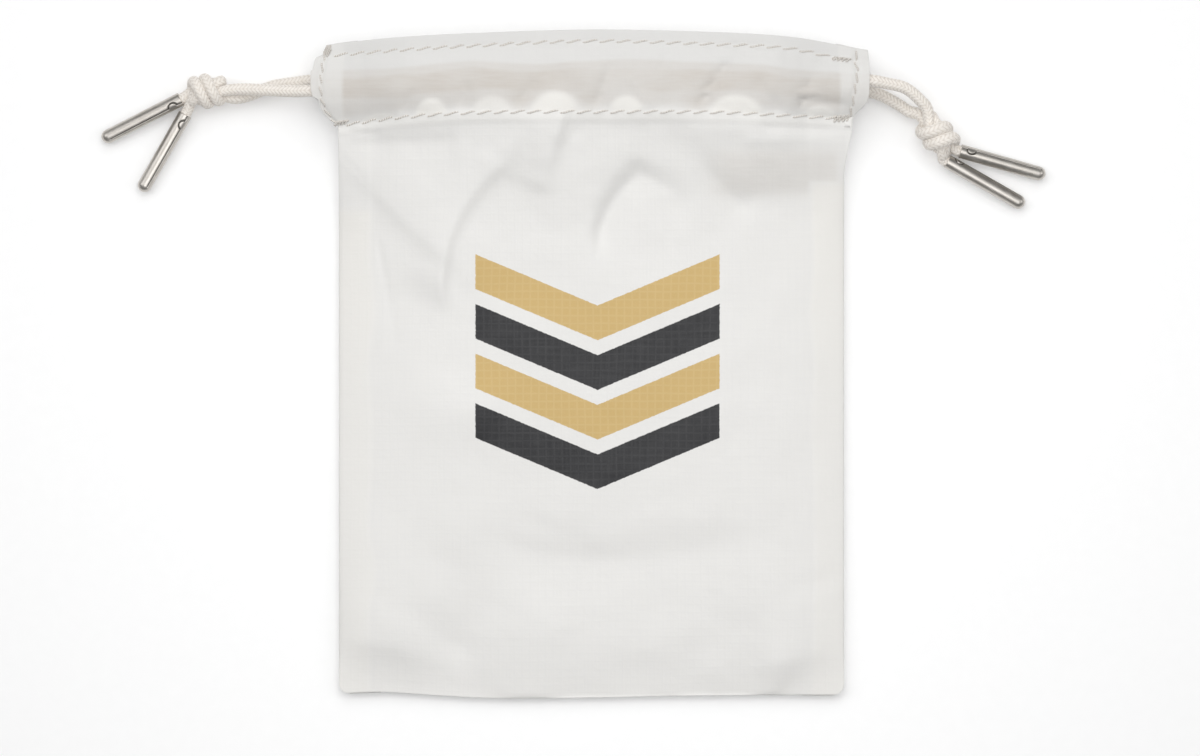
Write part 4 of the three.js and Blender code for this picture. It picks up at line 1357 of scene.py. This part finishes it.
def knot(side, material):
    """The overhand knot: both strands from under its wrap, round it, back through and into the tips."""
    parts = []
    for strand, tip in zip((1, -1), side["tips"]):
        rows = knot_route(side["knot"], strand)[KNOT_JOIN - 1:]
        mouth, ahead = tip_frame(tip)
        spread = rows[-1, 3:]
        tail = [np.concatenate([mouth + ahead * d, spread]) for d in (-1.2, 0.4, TAIL_IN_TIP)]
        route = smooth_route(np.concatenate([rows, tail]), STRAND_STEP)
        share = np.linspace(0, 1, len(route))
        size = np.linalg.norm(route[:, 3:], axis=1)
        tail_part = smoothstep(share, 0.82, 0.9)
        inside = (share > 0.9) * smoothstep((route[:, :3] - mouth) @ ahead, -0.6, 0.2)
        wide, thick = (
            lerp(lerp(half, TAIL_HALF, tail_part), TIP_BORE - BORE_ROOM, inside)
            for half in (np.clip(size, *KNOT_WIDE), KNOT_THICK)
        )
        spread = strand * route[:, 3:] / np.maximum(size, 1e-6)[:, None]
        parts.append(cord_tube(route[:, :3], spread, wide, thick))
    first = len(parts[0][0])
    points = np.concatenate([part[0] for part in parts])
    faces = np.concatenate([parts[0][1], parts[1][1] + first])
    crown = np.concatenate([part[2] for part in parts])
    piece = add_piece(f"{side['name']}_tied_knot", points, faces, material, masks={"crown": crown})
    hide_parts(f"{side['name']}_knot")
    return piece


# Metal cord ends

TIP_TURNS = 120
TIP_RIM = 0.1
GROOVE = 0.15  # half width of the rolled seam's gap
GROOVE_DEPTH = 0.3
TAB_AT = 2.6  # the locking tab's middle, from the mouth
TAB_RADIUS = 1.15


def tip_profile():
    """Distance along the tip and radius: up the bore, round the rim, along the tube, over the nose."""
    bore = [(6.0, 0.02), (6.0, TIP_BORE - 0.01), (0.12, TIP_BORE - 0.01), (0.0, TIP_BORE + 0.06)]
    rim = [(0.0, TIP_RADIUS - TIP_RIM), (0.03, TIP_RADIUS - 0.03), (0.1, TIP_RADIUS)]
    tube = [(s, TIP_RADIUS) for s in np.linspace(0.1, TIP_LENGTH - TIP_RADIUS, 130)[1:]]
    nose = [
        (TIP_LENGTH - TIP_RADIUS + TIP_RADIUS * math.sin(a), TIP_RADIUS * math.cos(a))
        for a in np.linspace(0, np.pi / 2, 15)[1:]
    ]
    nose[-1] = (TIP_LENGTH, 0.01)
    return np.array(bore + rim + tube + nose)


def tip_piece(side, tip, material):
    """A rolled tube: its profile turned about its axis, with the gap of the seam and the round edge of
    the locking tab pressed in where the metal meets itself."""
    mouth, ahead = tip_frame(tip)
    profile = tip_profile()
    turn = np.linspace(0, 2 * np.pi, TIP_TURNS, endpoint=False)
    s = profile[:, 0][:, None] + 0 * turn
    radius = profile[:, 1][:, None] + 0 * turn
    arc = TIP_RADIUS * (np.mod(turn + np.pi, 2 * np.pi) - np.pi)[None]
    outside = (np.arange(len(profile)) >= 5)[:, None]
    seam = np.exp(-((arc / GROOVE) ** 2)) * (np.abs(s - TAB_AT) > TAB_RADIUS)
    ring = np.hypot(arc, s - TAB_AT) - TAB_RADIUS
    tab = np.exp(-((ring / GROOVE) ** 2)) * (arc < 0.12)
    cut = np.maximum(seam, tab) * outside * (1 - smoothstep(s, TIP_LENGTH - 2.2, TIP_LENGTH - 1.2))
    radius = radius - GROOVE_DEPTH * cut
    level = np.array([-ahead[1], ahead[0], 0.0])
    level /= np.linalg.norm(level)
    up = np.cross(ahead, level)
    angle = turn + math.radians(tip["seam_turn"])
    out = np.cos(angle)[None, :, None] * up + np.sin(angle)[None, :, None] * level
    points = mouth + s[..., None] * ahead + radius[..., None] * out
    faces = grid_faces(len(profile), TIP_TURNS, ring=True)
    u = np.broadcast_to(turn / (2 * np.pi), s.shape)
    uv = np.stack([u, s / TIP_LENGTH], -1)
    name = f"{side['name']}_{tip['name']}_tip"
    # The seam's gap and the tab's edge also carry painted shade.
    piece = add_piece(name + "_metal", points, faces, material, uv, {"seam_shade": cut})
    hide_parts(name)
    return piece


# Build

make_camera()
make_lights()

cotton = braid_material("braided cotton")
nickel = nickel_material("satin nickel")
thread = thread_material("seam thread")
front_cloth = cloth_material("printed ripstop cloth", True)
back_cloth = cloth_material("ripstop cloth", False)

for side in SIDES:
    knot_piece = knot(side, cotton)
    tips = [tip_piece(side, tip, nickel) for tip in side["tips"]]
    for key, piece, path in drawcord(side, cotton):
        if key == "drawcord":
            continue

front = cloth_sheet("pouch_front", front_height, 1, front_cloth, ("front_panel", "front_casing"))
back = cloth_sheet("pouch_back", back_height, -1, back_cloth, ("back_panel", "back_casing"))
front_stitches = sewn_rows("front_stitches", front_height, 1, thread)
back_stitches = sewn_rows("back_stitches", back_height, -1, thread)

FLOOR_HALF = 3000
FLOOR_CORNERS = np.array([(-1, -1, 0), (1, -1, 0), (1, 1, 0), (-1, 1, 0)])
floor = add_piece(
    "floor",
    FLOOR_HALF * FLOOR_CORNERS,
    np.array([[0, 1, 2, 3]]),
    floor_material(),
)
